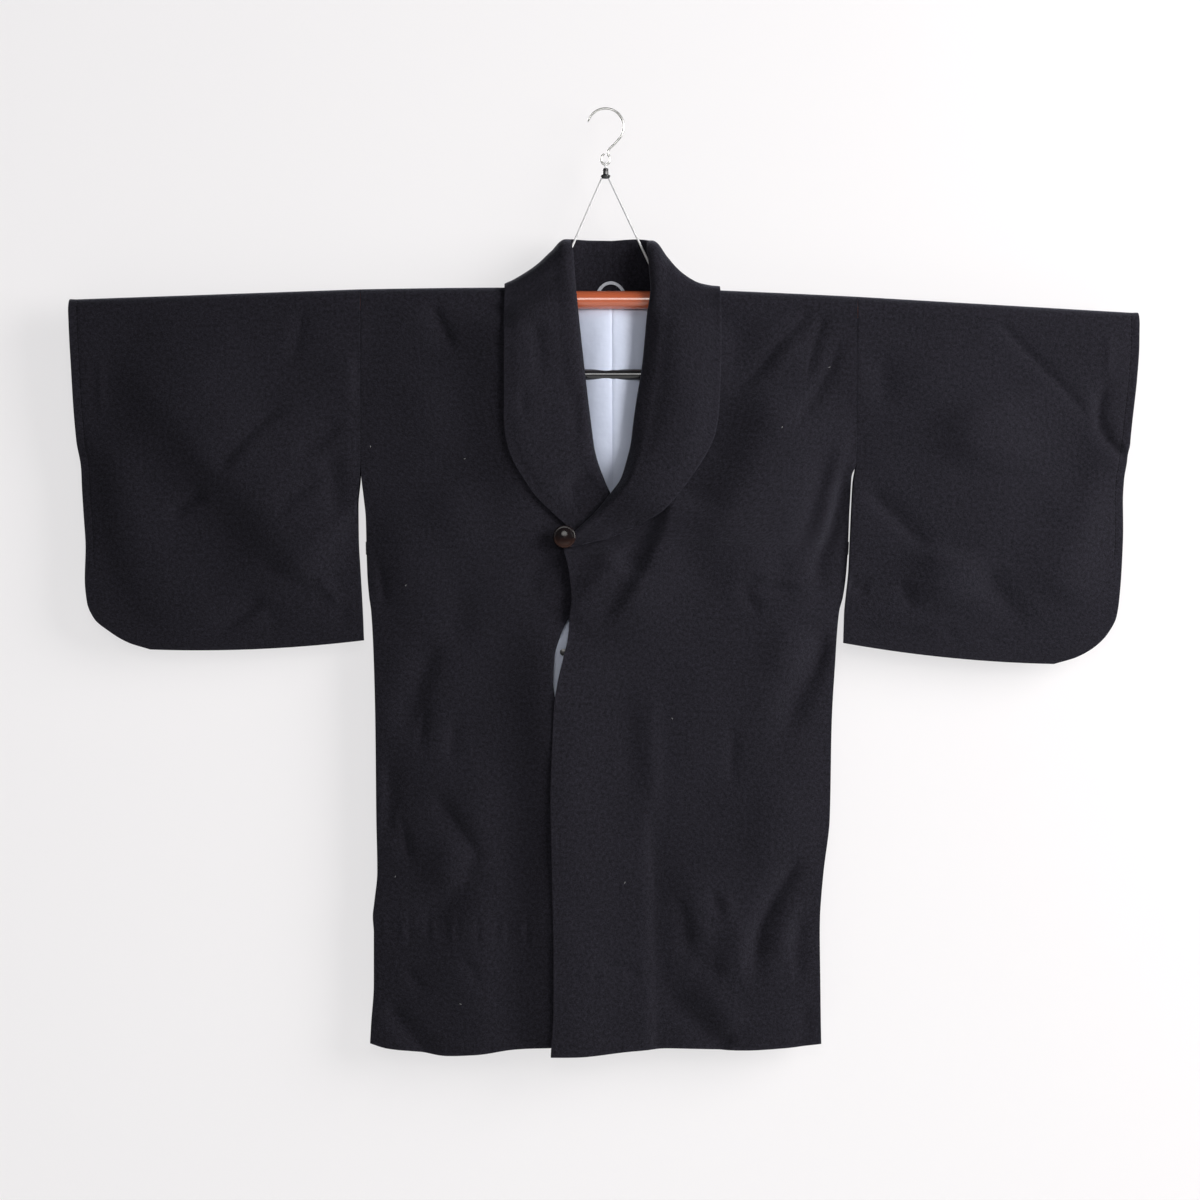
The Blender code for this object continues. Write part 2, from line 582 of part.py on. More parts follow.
def collar_half(side, wool, collection):
    """Half the shawl collar: a stand that rises from the seam, a roll, and a fall that lies outside."""
    table = LEFT_COLLAR if side == "left" else RIGHT_COLLAR
    stations = [collar_points(side, section) for section in table]
    rows = []
    for i, (seam, roll, edge) in enumerate(stations):
        before = stations[max(0, i - 1)][1]
        after = stations[min(len(stations) - 1, i + 1)][1]
        along = (after - before).normalized()
        across = (edge - roll).normalized()
        over = across.cross(along) if side == "left" else along.cross(across)
        over.normalize()
        across = (across - along * across.dot(along)).normalized()
        radius = table[i].roll_radius
        centre = roll + across * radius
        stand_top = centre - over * radius
        fall_top = centre + over * radius
        toward_roll = (stand_top - seam).normalized()
        start = seam + toward_roll * (SEAM + 0.5 * WOOL_WALL * abs(toward_roll.dot(panel_normal(table[i]))))
        fall = []
        for reach, puff in zip(COLLAR_REACH, COLLAR_PUFF):
            fall.append(mix(fall_top, edge, reach) + over * puff * radius)
        rows.append([start, mix(start, stand_top, STAND_MIDDLE), stand_top, roll, fall_top, *fall, edge])
    if side == "right":
        rows = [list(reversed(row)) for row in rows]
    return cloth("collar_" + side, rows, COLLAR_WALL, wool, collection)


def hanging_loop(tape, collection):
    """A flat strip that stands in an arch at the back neck, in front of the collar's stand."""
    width, wall, half_span, rise, steps = 3.6, 0.9, 16.0, 15.0, 8
    centre = Vector((6.5, BAR_RADIUS + 0.1, -222.0))    # its ends tuck in just behind the bar's top
    rows = []
    for i in range(steps + 1):
        angle = math.pi * i / steps
        outward = Vector((-math.cos(angle), 0.0, math.sin(angle)))
        middle = centre + Vector((outward.x * half_span, 0.0, outward.z * rise))
        rows.append([middle - outward * 0.5 * width, middle + outward * 0.5 * width])
    return cloth("hanging_loop", rows, wall, tape, collection)


def front_button(finish, thread, collection):
    """A domed button with a soft rim, on a short thread shank that goes down to the left front."""
    profile = [(0.0, 7.0), (5.0, 6.6), (9.0, 5.4), (12.0, 3.8), (13.4, 2.2), (BUTTON_RADIUS, 1.2),
               (12.6, 0.2), (10.0, 0.0), (0.0, 0.0)]
    shank_radius, shank_in, shank_up = 2.2, 1.0, 4.5
    lapel_x, lapel_below = -42.0, 8.0
    lapel_thickness = 2.0 * RIGHT_COLLAR[-1].roll_radius + 0.5 * COLLAR_WALL
    back_y = front_y("right", lapel_x, BUTTON_Z - lapel_below) - lapel_thickness - REST - 2.0 * PRESS
    button = turned("front_button", profile, 28, finish, collection)
    button.rotation_euler = (math.radians(90.0), 0.0, 0.0)
    button.location = (BUTTON_X * MM, back_y * MM, BUTTON_Z * MM)
    left_face = front_y("left", BUTTON_X, BUTTON_Z) - 0.5 * WOOL_WALL
    shank_x = BUTTON_X - shank_in
    shank_z = BUTTON_Z + shank_up
    route = [(shank_x, back_y + REST, shank_z), (shank_x, left_face - REST, shank_z)]
    round_wire("button_shank", route, shank_radius, thread, collection)


def press_stud(finish, collection):
    """Half a press stud, sewn under the right front's edge where the slit opens."""
    front_face = front_y("right", STUD_X, STUD_Z) + 0.5 * WOOL_WALL + REST
    profile = [(0.0, 2.6), (1.6, 2.5), (2.0, 1.4), (3.6, 1.2), (STUD_RADIUS, 0.6), (3.6, 0.0), (0.0, 0.0)]
    stud = turned("press_stud", profile, 16, finish, collection)
    stud.rotation_euler = (math.radians(-90.0), 0.0, 0.0)
    stud.location = (STUD_X * MM, front_face * MM, STUD_Z * MM)


# ---------------------------------------------------------------- the hanger
def hanger_bars(brown, black, collection):
    """The long bar inside the shoulders and sleeves, and the thin one below it."""
    left, right = BAR_ENDS
    round_end = [(0.0, 0.72), (2.5, 0.94), (6.0, 1.0)]    # how far in from an end, share of the radius
    stops = [(left + reach, scale) for reach, scale in round_end]
    stops += [(point.x, 1.0) for point in BAR_LINE[1:-1]]
    stops += [(right - reach, scale) for reach, scale in reversed(round_end)]
    route = [(x, 0.0, bar_height(x)) for x, _ in stops]
    round_wire("upper_bar", route, BAR_RADIUS, brown, collection, 6, [scale for _, scale in stops])
    left, right = LOWER_BAR_ENDS
    stops = [(left, 0.7), (left + 2.0, 1.0), (right - 2.0, 1.0), (right, 0.7)]
    route = [(x, 0.0, LOWER_BAR_HEIGHT) for x, _ in stops]
    round_wire("lower_bar", route, LOWER_BAR_RADIUS, black, collection, 4, [scale for _, scale in stops])


def hanger_cords(white, collection):
    """Two taut strands from the ferrule to the long bar, and on from it down to the thin bar."""
    for side, bar_x in (("left", CORD_LEFT_X), ("right", CORD_RIGHT_X)):
        top_x = math.copysign(CORD_TOP_X, bar_x)
        upper_end = bar_height(bar_x) + BAR_RADIUS + CORD_ABOVE_BAR
        route = [(top_x, 0.0, FERRULE_BASE - REST), (bar_x, 0.0, upper_end)]
        round_wire("cord_upper_" + side, route, CORD_RADIUS, white, collection)
        lower_start = bar_height(bar_x) - BAR_RADIUS - REST
        lower_end = LOWER_BAR_HEIGHT + LOWER_BAR_RADIUS + REST
        route = [(bar_x, 0.0, lower_start), (bar_x, 0.0, lower_end)]
        round_wire("cord_lower_" + side, route, CORD_RADIUS, white, collection)


def hanger_ferrule(black, collection):
    """The turned ferrule that gathers the cord under the hook."""
    profile = [(0.0, FERRULE_TOP), (2.8, FERRULE_TOP), (FERRULE_RADIUS, FERRULE_TOP - 0.7),
               (FERRULE_RADIUS, FERRULE_FOOT_TOP + 0.6), (FERRULE_FOOT_RADIUS - 0.6, FERRULE_FOOT_TOP),
               (FERRULE_FOOT_RADIUS, FERRULE_FOOT_TOP - 0.8),
               (FERRULE_FOOT_RADIUS - 0.8, FERRULE_FOOT_TOP - 2.0), (4.6, FERRULE_BASE), (0.0, FERRULE_BASE)]
    return turned("ferrule", profile, 20, black, collection)


def hanger_hook(steel, white, collection):
    """An open wire hook that ends below in a drop-shaped eye, with the cord's loop through the eye."""
    centre_z = HOOK_WIRE_RADIUS - HOOK_CURVE_RADIUS
    route = []
    for turn in range(166, -45, -14):
        angle = math.radians(turn)
        across, up = HOOK_CURVE_RADIUS * math.cos(angle), HOOK_CURVE_RADIUS * math.sin(angle)
        route.append((across, 0.0, centre_z + up))
    route += [(10.6, 0.0, -41.6), (5.0, 0.0, -46.6), (2.4, 0.0, -50.2), (2.6, 0.0, -53.0)]   # the neck
    eye_z, eye_half_width, eye_half_height = -59.6, 5.2, 6.6
    for turn in range(40, -230, -30):
        angle = math.radians(turn)
        route.append((eye_half_width * math.cos(angle), 0.0, eye_z + eye_half_height * math.sin(angle)))
    route.append((-1.2, 0.0, -53.0))    # the wire's end closes the eye
    round_wire("hook", route, HOOK_WIRE_RADIUS, steel, collection)
    wire_z = eye_z - eye_half_height
    loop_radius = HOOK_WIRE_RADIUS + LOOP_CORD_RADIUS + LOOP_SLACK
    loop_end = FERRULE_TOP + 2.0 * REST
    leg_y = 1.3
    route = [(0.0, -leg_y, loop_end)]
    for turn in range(200, -40, -20):
        angle = math.radians(turn)
        route.append((0.0, loop_radius * math.cos(angle), wire_z + loop_radius * math.sin(angle)))
    route.append((0.0, leg_y, loop_end))
    round_wire("cord_loop", route, LOOP_CORD_RADIUS, white, collection)


# ---------------------------------------------------------------- build
def main():
    for leftover in list(bpy.data.objects):
        bpy.data.objects.remove(leftover, do_unlink=True)
    coat = bpy.data.collections.new("kimono_coat_on_hanger")
    bpy.context.scene.collection.children.link(coat)

    wool = material("black_wool", (0.016, 0.016, 0.018), 0.9, 0.0)
    silk = material("pale_blue_lining", (0.50, 0.54, 0.68), 0.6, 0.0)
    tape = material("grey_tape", (0.55, 0.57, 0.62), 0.6, 0.0)
    horn = material("dark_button", (0.02, 0.012, 0.01), 0.15, 0.0)
    thread = material("black_thread", (0.015, 0.015, 0.016), 0.8, 0.0)
    stud_black = material("black_stud", (0.02, 0.02, 0.02), 0.3, 0.0)
    brown = material("brown_bar", (0.55, 0.12, 0.05), 0.25, 0.0)
    black = material("black_plastic", (0.015, 0.015, 0.017), 0.2, 0.0)
    white = material("white_cord", (0.80, 0.80, 0.82), 0.8, 0.0)
    steel = material("steel_wire", (0.60, 0.60, 0.58), 0.25, 1.0)

    for side in ("left", "right"):
        body_panel(side, wool, coat)
        lining_panel(side, silk, coat)
        sleeve(side, wool, coat)
        collar_half(side, wool, coat)
    hanging_loop(tape, coat)
    front_button(horn, thread, coat)
    press_stud(stud_black, coat)
    hanger_bars(brown, black, coat)
    hanger_cords(white, coat)
    hanger_ferrule(black, coat)
    hanger_hook(steel, white, coat)


main()
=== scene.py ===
"""Kimono coat on its hanger: the cloth, the fastenings, the hanger and the studio around them.

Run as a script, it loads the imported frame, makes each piece in the frame's own metres and hands the
pieces over to the frame. Left and right are those of someone who looks at the coat's front, which
faces -Y. Sizes in the tables are in millimetres.
"""

import math
import random
from collections import namedtuple

import bmesh
import bpy
import numpy as np
from bpy.props import FloatProperty, FloatVectorProperty, PointerProperty
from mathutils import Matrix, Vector


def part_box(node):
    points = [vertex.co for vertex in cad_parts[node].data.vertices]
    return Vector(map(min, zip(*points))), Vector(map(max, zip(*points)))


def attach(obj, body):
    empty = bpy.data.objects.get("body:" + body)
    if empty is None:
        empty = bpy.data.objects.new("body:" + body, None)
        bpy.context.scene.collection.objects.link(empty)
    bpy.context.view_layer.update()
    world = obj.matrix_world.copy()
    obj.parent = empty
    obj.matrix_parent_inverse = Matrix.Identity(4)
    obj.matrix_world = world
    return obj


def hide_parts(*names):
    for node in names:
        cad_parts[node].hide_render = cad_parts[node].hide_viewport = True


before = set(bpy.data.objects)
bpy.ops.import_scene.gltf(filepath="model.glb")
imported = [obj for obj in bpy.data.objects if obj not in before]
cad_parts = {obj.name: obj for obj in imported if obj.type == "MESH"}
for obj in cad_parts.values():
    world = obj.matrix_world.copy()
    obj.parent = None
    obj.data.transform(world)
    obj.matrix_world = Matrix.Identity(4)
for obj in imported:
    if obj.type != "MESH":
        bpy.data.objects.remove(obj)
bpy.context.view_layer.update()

bl_info = {
    "name": "Kimono Coat",
    "version": (1, 0, 0),
    "blender": (4, 5, 0),
    "location": "3D View > Sidebar > Kimono Coat",
    "description": "Makes a black wool kimono coat on its hanger, with its finishes and studio",
    "category": "Object",
}

MM = 0.001


def rows_of(kind, rows):
    """A table: each row's values under the named columns of its kind."""
    return [kind(*row) for row in rows]


# ---------------------------------------------------------------- the coat's own sizes
WOOL_WALL = 2.0
LINING_WALL = 1.0
SEAM = 0.4
CENTRE_SEAM = 0.04
WRAP_RADIUS = 13.9
BAR_RADIUS = 10.8
CENTRE_BACK_X = 8.0
SIDE_ROUND = 90.0
LAP_FLAT = 88.0
LAP_EASE = 110.0
SLEEVE_DIP = 5.0
BACK_HEM = -1120.0
LINING_HEM_RISE = 24.0
BACK_TURN = 180.0
SHOULDER_HEIGHT = -216.0
FRONT_TOP = -228.0
FRONT_BOTTOM = -1130.0
ARMHOLE_FADE = -446.0            # gathers and flat seams beside the armhole die out at this height
VENT = (-434.0, -524.0)          # the open stretch of the side seam, from and to
EDGE_FREE_BELOW = {"left": -600.0, "right": -524.0}
COLLAR_WALL = 2.4
COLLAR_EDGE_WALL = 3.6
COLLAR_ROUNDING = 1.1
TURNED_IN = 7.0                  # how wide the turned edge of the wool is
CUFF_OPEN_TO = -438.0
CUFF_STITCHED_TO = -560.0
LINING_REACH = 0.9               # the lining's share of the way from the centre back to the armhole
DEEPEST_FOLD = -9.0              # of the right front, where nothing lies under it
SIDE_TACK = (-534.0, -519.0)     # the lower and the upper end of the thread bar

# A record for the cut of a piece laid flat: width and length in metres, area in square metres. No piece is
# given one.
FlatCut = namedtuple("FlatCut", "width length area")

BarPoint = namedtuple("BarPoint", "x height")
BAR_LINE = rows_of(BarPoint, [
    (-640.0, -243.0),
    (-293.0, -230.6),
    (-120.0, -228.6),
    (60.0, -228.6),
    (135.0, -231.8),
    (302.0, -239.6),
    (400.0, -245.4),
    (638.0, -259.2),
])

# Half of the space between front and back, in the middle of the body.
BodyDepth = namedtuple("BodyDepth", "height half_depth")
BODY_DEPTH = rows_of(BodyDepth, [
    (-228.0, 13.9),
    (-500.0, 13.6),
    (-700.0, 12.6),
    (-900.0, 11.6),
    (-1130.0, 11.0),
])

# The armhole seam runs down to 432. Below it the side is open as far as the tack at 527, then sewn.
SideEdge = namedtuple("SideEdge", "height left_x right_x half_depth")
SIDE_EDGE = rows_of(SideEdge, [
    (-216.0, -293.0, 301.6, 13.9),
    (-425.0, -293.0, 300.0, 9.1),
    (-440.0, -292.4, 294.8, 8.8),
    (-464.0, -289.8, 293.4, 6.5),
    (-491.0, -287.2, 292.0, 3.6),
    (-527.0, -286.5, 290.6, 1.3),
    (-560.0, -285.4, 288.2, 1.2),
    (-585.0, -283.3, 284.6, 1.2),
    (-602.0, -281.0, 280.2, 1.2),
    (-663.0, -277.8, 275.4, 1.2),
    (-736.0, -276.0, 271.2, 1.2),
    (-851.0, -274.8, 268.8, 1.2),
    (-914.0, -273.6, 261.5, 1.2),
    (-951.0, -277.2, 258.2, 1.2),
    (-968.0, -279.0, 257.2, 1.2),
    (-988.0, -277.8, 256.9, 1.2),
    (-1049.0, -277.8, 257.6, 1.2),
    (-1097.0, -281.0, 258.2, 1.2),
    (-1126.0, -282.6, 258.8, 1.2),
])

# The front's inner edge: the neck seam down to the button, then the free edge down to the hem.
# lap is how far the right front stands out to clear the left front and the left lapel under it.
FrontEdge = namedtuple("FrontEdge", "height left_x right_x lap")
FRONT_EDGE = rows_of(FrontEdge, [
    (-228.0, -77.5, 93.5, 0.0),
    (-245.0, -76.0, 92.0, 0.0),
    (-262.0, -73.5, 90.0, 0.0),
    (-290.0, -69.0, 87.0, 0.0),
    (-320.0, -64.0, 82.5, 0.0),
    (-350.0, -58.0, 77.0, 0.0),
    (-380.0, -51.0, 70.0, 0.6),
    (-405.0, -44.0, 62.0, 1.8),
    (-425.0, -37.0, 55.0, 3.2),
    (-443.0, -29.0, 47.0, 5.0),
    (-460.0, -19.0, 37.0, 6.2),
    (-478.0, -9.0, 24.0, 6.2),
    (-495.0, -2.0, 7.0, 6.2),
    (-512.0, 0.0, -20.0, 6.2),
    (-526.0, -1.0, -50.0, 6.2),
    (-540.0, -4.0, -46.5, 5.8),
    (-562.0, -12.0, -42.6, 4.8),
    (-587.0, -26.0, -40.2, 3.8),
    (-607.0, -42.0, -42.6, 3.4),
    (-634.0, -54.6, -45.0, 3.4),
    (-656.0, -60.6, -50.0, 3.4),
    (-687.0, -62.2, -57.0, 3.4),
    (-716.0, -58.0, -61.2, 3.4),
    (-760.0, -53.0, -63.4, 3.4),
    (-828.0, -52.0, -65.4, 3.4),
    (-890.0, -52.0, -64.2, 3.4),
    (-951.0, -52.0, -63.0, 3.4),
    (-1010.0, -52.0, -61.8, 3.4),
    (-1073.0, -52.0, -61.8, 3.4),
    (-1130.0, -51.0, -65.0, 3.4),
])

HemPoint = namedtuple("HemPoint", "x height")
LEFT_HEM = rows_of(HemPoint, [
    (-283.0, -1120.2),
    (-262.0, -1126.0),
    (-221.0, -1130.0),
    (-190.0, -1133.6),
    (-155.0, -1132.0),
    (-111.0, -1126.0),
    (-51.0, -1121.5),
])
RIGHT_HEM = rows_of(HemPoint, [
    (-65.0, -1133.4),
    (-38.0, -1133.4),
    (36.0, -1127.6),
    (77.0, -1125.2),
    (166.0, -1127.4),
    (215.0, -1125.2),
    (259.0, -1121.0),
])

# The neck seam over the bar: turn is the angle round the bar, 0 in front, 90 on top, 180 behind.
NeckSeam = namedtuple("NeckSeam", "turn left_x right_x")
NECK_SEAM = rows_of(NeckSeam, [
    (0.0, -77.6, 93.6),
    (30.0, -78.0, 94.0),
    (60.0, -78.0, 94.0),
    (90.0, -78.0, 94.0),
    (105.0, -73.0, 89.0),
    (120.0, -65.0, 81.0),
    (150.0, -34.0, 50.0),
    (180.0, CENTRE_BACK_X, CENTRE_BACK_X),
])

# A sleeve from the bar (drop 0) to its lower edge (drop 1). The cuff is open down to drop 0.46 and
# sewn below it; the inner edge is sewn to the body down to 0.5 and open below it.
SleeveRow = namedtuple(
    "SleeveRow", "drop left_cuff left_inner right_cuff right_inner cuff_half mid_half inner_half")
SLEEVE_ROWS = rows_of(SleeveRow, [
    (0.00, -642.4, -293.4, 638.4, 302.0, 13.9, 13.9, 13.9),
    (0.06, -641.4, -293.4, 638.2, 301.8, 13.2, 13.8, 13.3),
    (0.16, -639.4, -293.4, 635.8, 301.4, 11.2, 13.2, 12.3),
    (0.28, -637.0, -293.4, 630.8, 301.0, 8.2, 12.6, 11.1),
    (0.38, -634.0, -293.4, 626.6, 300.6, 4.6, 11.8, 10.1),
    (0.46, -629.0, -293.4, 621.8, 300.4, 1.3, 11.0, 9.3),
    (0.52, -628.0, -294.2, 620.6, 297.0, 1.1, 10.4, 8.8),
    (0.60, -626.0, -297.0, 620.9, 295.2, 1.1, 9.6, 8.2),
    (0.70, -623.6, -296.6, 619.5, 293.4, 1.1, 8.4, 7.6),
    (0.79, -624.6, -294.6, 617.0, 291.6, 1.1, 7.0, 6.8),
    (0.86, -622.0, -292.8, 613.0, 288.6, 1.1, 5.4, 5.6),
    (0.91, -613.0, -291.6, 602.5, 286.6, 1.1, 4.2, 4.2),
    (0.945, -596.0, -290.8, 589.0, 286.0, 1.1, 3.0, 2.8),
    (0.98, -572.0, -290.2, 565.0, 285.5, 1.1, 1.8, 1.6),
    (1.00, -546.0, -289.8, 538.0, 285.2, 1.1, 1.1, 1.1),
])
SleeveFrame = namedtuple("SleeveFrame", "inner_top inner_bottom cuff_top cuff_bottom")
SLEEVE_FRAME = {
    "left": SleeveFrame(-230.6, -637.0, -243.0, -648.0),
    "right": SleeveFrame(-239.6, -640.2, -259.2, -665.4),
}

# The collar, one row for each section, from the centre back over the shoulder to the button.
# seam: where it is sewn on; roll: its turned edge; edge: its free outer edge. roll_y and edge_y are
# given behind and over the shoulder; in front (None) they follow the front panel under the collar.
CollarSection = namedtuple(
    "CollarSection", "turn height roll_x roll_y roll_z edge_x edge_y edge_z roll_radius sag")
LEFT_COLLAR = rows_of(CollarSection, [
    (180.0, None, 8.0, 15.5, -156.8, 8.0, 19.5, -252.0, 3.0, 0.0),
    (150.0, None, -24.0, 13.5, -156.4, -50.0, 19.2, -250.0, 3.0, 1.0),
    (120.0, None, -37.0, 9.0, -156.0, -90.0, 18.4, -241.0, 3.0, 3.0),
    (105.0, None, -41.0, 4.8, -156.4, -111.0, 16.8, -223.5, 3.0, 4.2),
    (97.5, None, -42.2, 2.4, -157.0, -117.0, 11.4, -214.6, 3.0, 4.4),
    (90.0, None, -42.6, 0.0, -157.6, -119.8, 1.0, -210.8, 3.0, 4.4),
    (60.0, None, -42.0, -7.5, -159.5, -120.2, -10.0, -213.6, 3.0, 4.0),
    (30.0, None, -40.8, -14.0, -164.5, -120.4, -15.2, -219.8, 3.0, 2.6),
    (None, -228.0, -39.5, -18.5, -173.0, -120.6, -16.9, -229.0, 3.0, 1.2),
    (None, -245.0, -38.2, -20.0, -191.0, -120.6, None, -247.0, 3.0, 0.3),
    (None, -262.0, -36.6, None, -212.0, -120.6, None, -266.0, 3.0, 0.0),
    (None, -290.0, -33.0, None, -249.0, -120.6, None, -296.0, 3.0, 0.0),
    (None, -320.0, -29.2, None, -285.0, -120.6, None, -326.0, 3.0, 0.0),
    (None, -350.0, -25.2, None, -321.0, -120.6, None, -354.0, 3.0, 0.0),
    (None, -380.0, -21.0, None, -357.0, -120.4, None, -381.0, 2.8, 0.0),
    (None, -405.0, -17.0, None, -388.0, -116.4, None, -405.0, 2.6, 0.0),
    (None, -425.0, -13.8, None, -411.0, -108.6, None, -425.4, 2.3, 0.0),
    (None, -443.0, -7.8, None, -431.0, -96.6, None, -445.0, 2.0, 0.0),
    (None, -460.0, -1.6, None, -447.0, -84.0, None, -463.0, 1.7, 0.0),
    (None, -478.0, 6.0, None, -465.0, -63.0, None, -484.2, 1.6, 0.0),
    (None, -495.0, 11.0, None, -484.0, -46.0, None, -500.0, 1.6, 0.0),
    (None, -512.0, 11.0, None, -503.0, -30.0, None, -513.0, 1.6, 0.0),
    (None, -526.0, 8.0, None, -519.0, -14.0, None, -524.0, 1.6, 0.0),
])
RIGHT_COLLAR = rows_of(CollarSection, [
    (180.0, None, 8.0, 15.5, -156.8, 8.0, 19.5, -252.0, 3.0, 0.0),
    (150.0, None, 36.0, 13.5, -155.2, 66.0, 19.2, -251.0, 3.0, 4.0),
    (120.0, None, 46.0, 9.0, -156.2, 107.0, 18.4, -243.0, 3.0, 10.0),
    (105.0, None, 50.0, 4.8, -158.0, 128.0, 16.8, -226.6, 3.0, 14.0),
    (97.5, None, 51.0, 2.4, -158.8, 134.0, 11.4, -217.8, 3.0, 14.6),
    (90.0, None, 51.4, 0.0, -159.8, 136.4, 1.0, -214.2, 3.0, 14.6),
    (60.0, None, 51.0, -7.5, -162.4, 137.0, -10.0, -217.0, 3.0, 12.6),
    (30.0, None, 50.4, -14.0, -168.0, 137.6, -15.4, -223.4, 3.0, 8.6),
    (None, -228.0, 51.4, -18.5, -178.0, 138.0, -16.9, -232.0, 3.0, 4.6),
    (None, -245.0, 53.0, -20.0, -197.0, 138.0, None, -250.0, 3.0, 1.6),
    (None, -262.0, 54.4, None, -217.0, 138.0, None, -268.0, 3.0, 0.4),
    (None, -290.0, 50.4, None, -248.0, 137.6, None, -297.0, 3.0, 0.0),
    (None, -320.0, 47.4, None, -281.0, 136.6, None, -326.0, 3.0, 0.0),
    (None, -350.0, 44.0, None, -313.0, 135.4, None, -353.0, 3.0, 0.0),
    (None, -380.0, 38.6, None, -345.0, 132.6, None, -380.0, 2.8, 0.0),
    (None, -405.0, 34.0, None, -377.0, 126.0, None, -402.0, 2.6, 0.0),
    (None, -425.0, 31.0, None, -402.0, 116.0, None, -420.6, 2.3, 0.0),
    (None, -443.0, 25.6, None, -424.0, 103.0, None, -440.0, 2.0, 0.0),
    (None, -460.0, 18.6, None, -445.0, 88.2, None, -460.4, 1.8, 0.0),
    (None, -478.0, 5.4, None, -463.2, 70.0, None, -480.6, 1.6, 0.0),
    (None, -495.0, -11.4, None, -484.0, 50.4, None, -492.6, 1.6, 0.0),
    (None, -512.0, -33.0, None, -504.5, 14.0, None, -511.0, 1.6, 0.0),
    (None, -526.0, -55.0, None, -521.5, -40.0, None, -525.5, 1.6, 0.0),
])

# ---------------------------------------------------------------- folds and creases
# Each row is one soft ridge (height above 0) or trough (below 0) along a path of (x, z) points.
# left and right are the widths of its two flanks, right being the flank to the right or above.
# crisp is 0 for a round fold and 1 for a sharp one; start and end are the shares of its length over
# which it fades in and out.
Crease = namedtuple("Crease", "path left right height crisp start end")
LEFT_FRONT_CREASES = rows_of(Crease, [
    ([(-118, -236), (-118, -330), (-110, -400), (-86, -452), (-58, -494)], 46, 38, 14.0, 0.0, 0.12, 0.3),
    ([(-208, -232), (-194, -262), (-178, -296)], 16, 7, -4.8, 0.5, 0.1, 0.35),
    ([(-222, -300), (-214, -380), (-196, -450)], 40, 34, 4.0, 0.0, 0.35, 0.4),
    ([(-196, -430), (-176, -500), (-172, -560)], 36, 30, 4.6, 0.0, 0.35, 0.4),
    ([(-277, -536), (-268, -566), (-267, -604)], 8, 7, -3.0, 0.4, 0.3, 0.4),
    ([(-284, -545), (-278, -575), (-272, -596)], 5, 6, 2.4, 0.3, 0.3, 0.4),
    ([(-250, -470), (-240, -540), (-232, -610)], 24, 30, 3.6, 0.0, 0.4, 0.4),
    ([(-196, -628), (-216, -672), (-229, -712), (-244, -768)], 20, 14, -6.0, 0.2, 0.3, 0.35),
    ([(-180, -560), (-176, -610), (-190, -650)], 20, 22, -3.4, 0.1, 0.35, 0.4),
    ([(-213, -706), (-219, -742), (-226, -776)], 8, 8, -3.6, 0.5, 0.35, 0.4),
    ([(-178, -724), (-183, -756), (-190, -790)], 9, 11, -3.2, 0.3, 0.4, 0.4),
    ([(-212, -812), (-182, -852), (-156, -894), (-152, -908)], 17, 11, -6.0, 0.4, 0.35, 0.1),
    ([(-151, -896), (-172, -932), (-202, -962), (-242, -980)], 15, 20, -6.0, 0.3, 0.2, 0.35),
    ([(-182, -866), (-190, -902), (-208, -934)], 22, 26, 4.4, 0.0, 0.4, 0.4),
    ([(-252, -838), (-240, -876), (-232, -912)], 11, 8, -4.8, 0.5, 0.35, 0.4),
    ([(-256, -836), (-247, -862), (-244, -880)], 8, 8, 2.8, 0.3, 0.4, 0.4),
    ([(-266, -770), (-262, -838), (-272, -890)], 8, 12, -4.4, 0.2, 0.3, 0.35),
    ([(-268, -1066), (-242, -1098), (-216, -1128)], 13, 14, -5.4, 0.3, 0.35, 0.0),
    ([(-246, -1022), (-226, -1046), (-210, -1066)], 9, 8, -2.4, 0.3, 0.4, 0.4),
    ([(-176, -1008), (-160, -1032), (-142, -1054)], 9, 8, -2.4, 0.3, 0.4, 0.4),
    ([(-162, -740), (-158, -850), (-160, -960), (-150, -1134)], 44, 34, 7.6, 0.0, 0.3, 0.0),
    ([(-58, -590), (-66, -660), (-62, -740), (-58, -860), (-58, -1000), (-56, -1136)],
     38, 56, 15.5, 0.0, 0.2, 0.0),
    ([(-60, -530), (-82, -556), (-92, -596)], 14, 12, -2.6, 0.2, 0.3, 0.4),
])
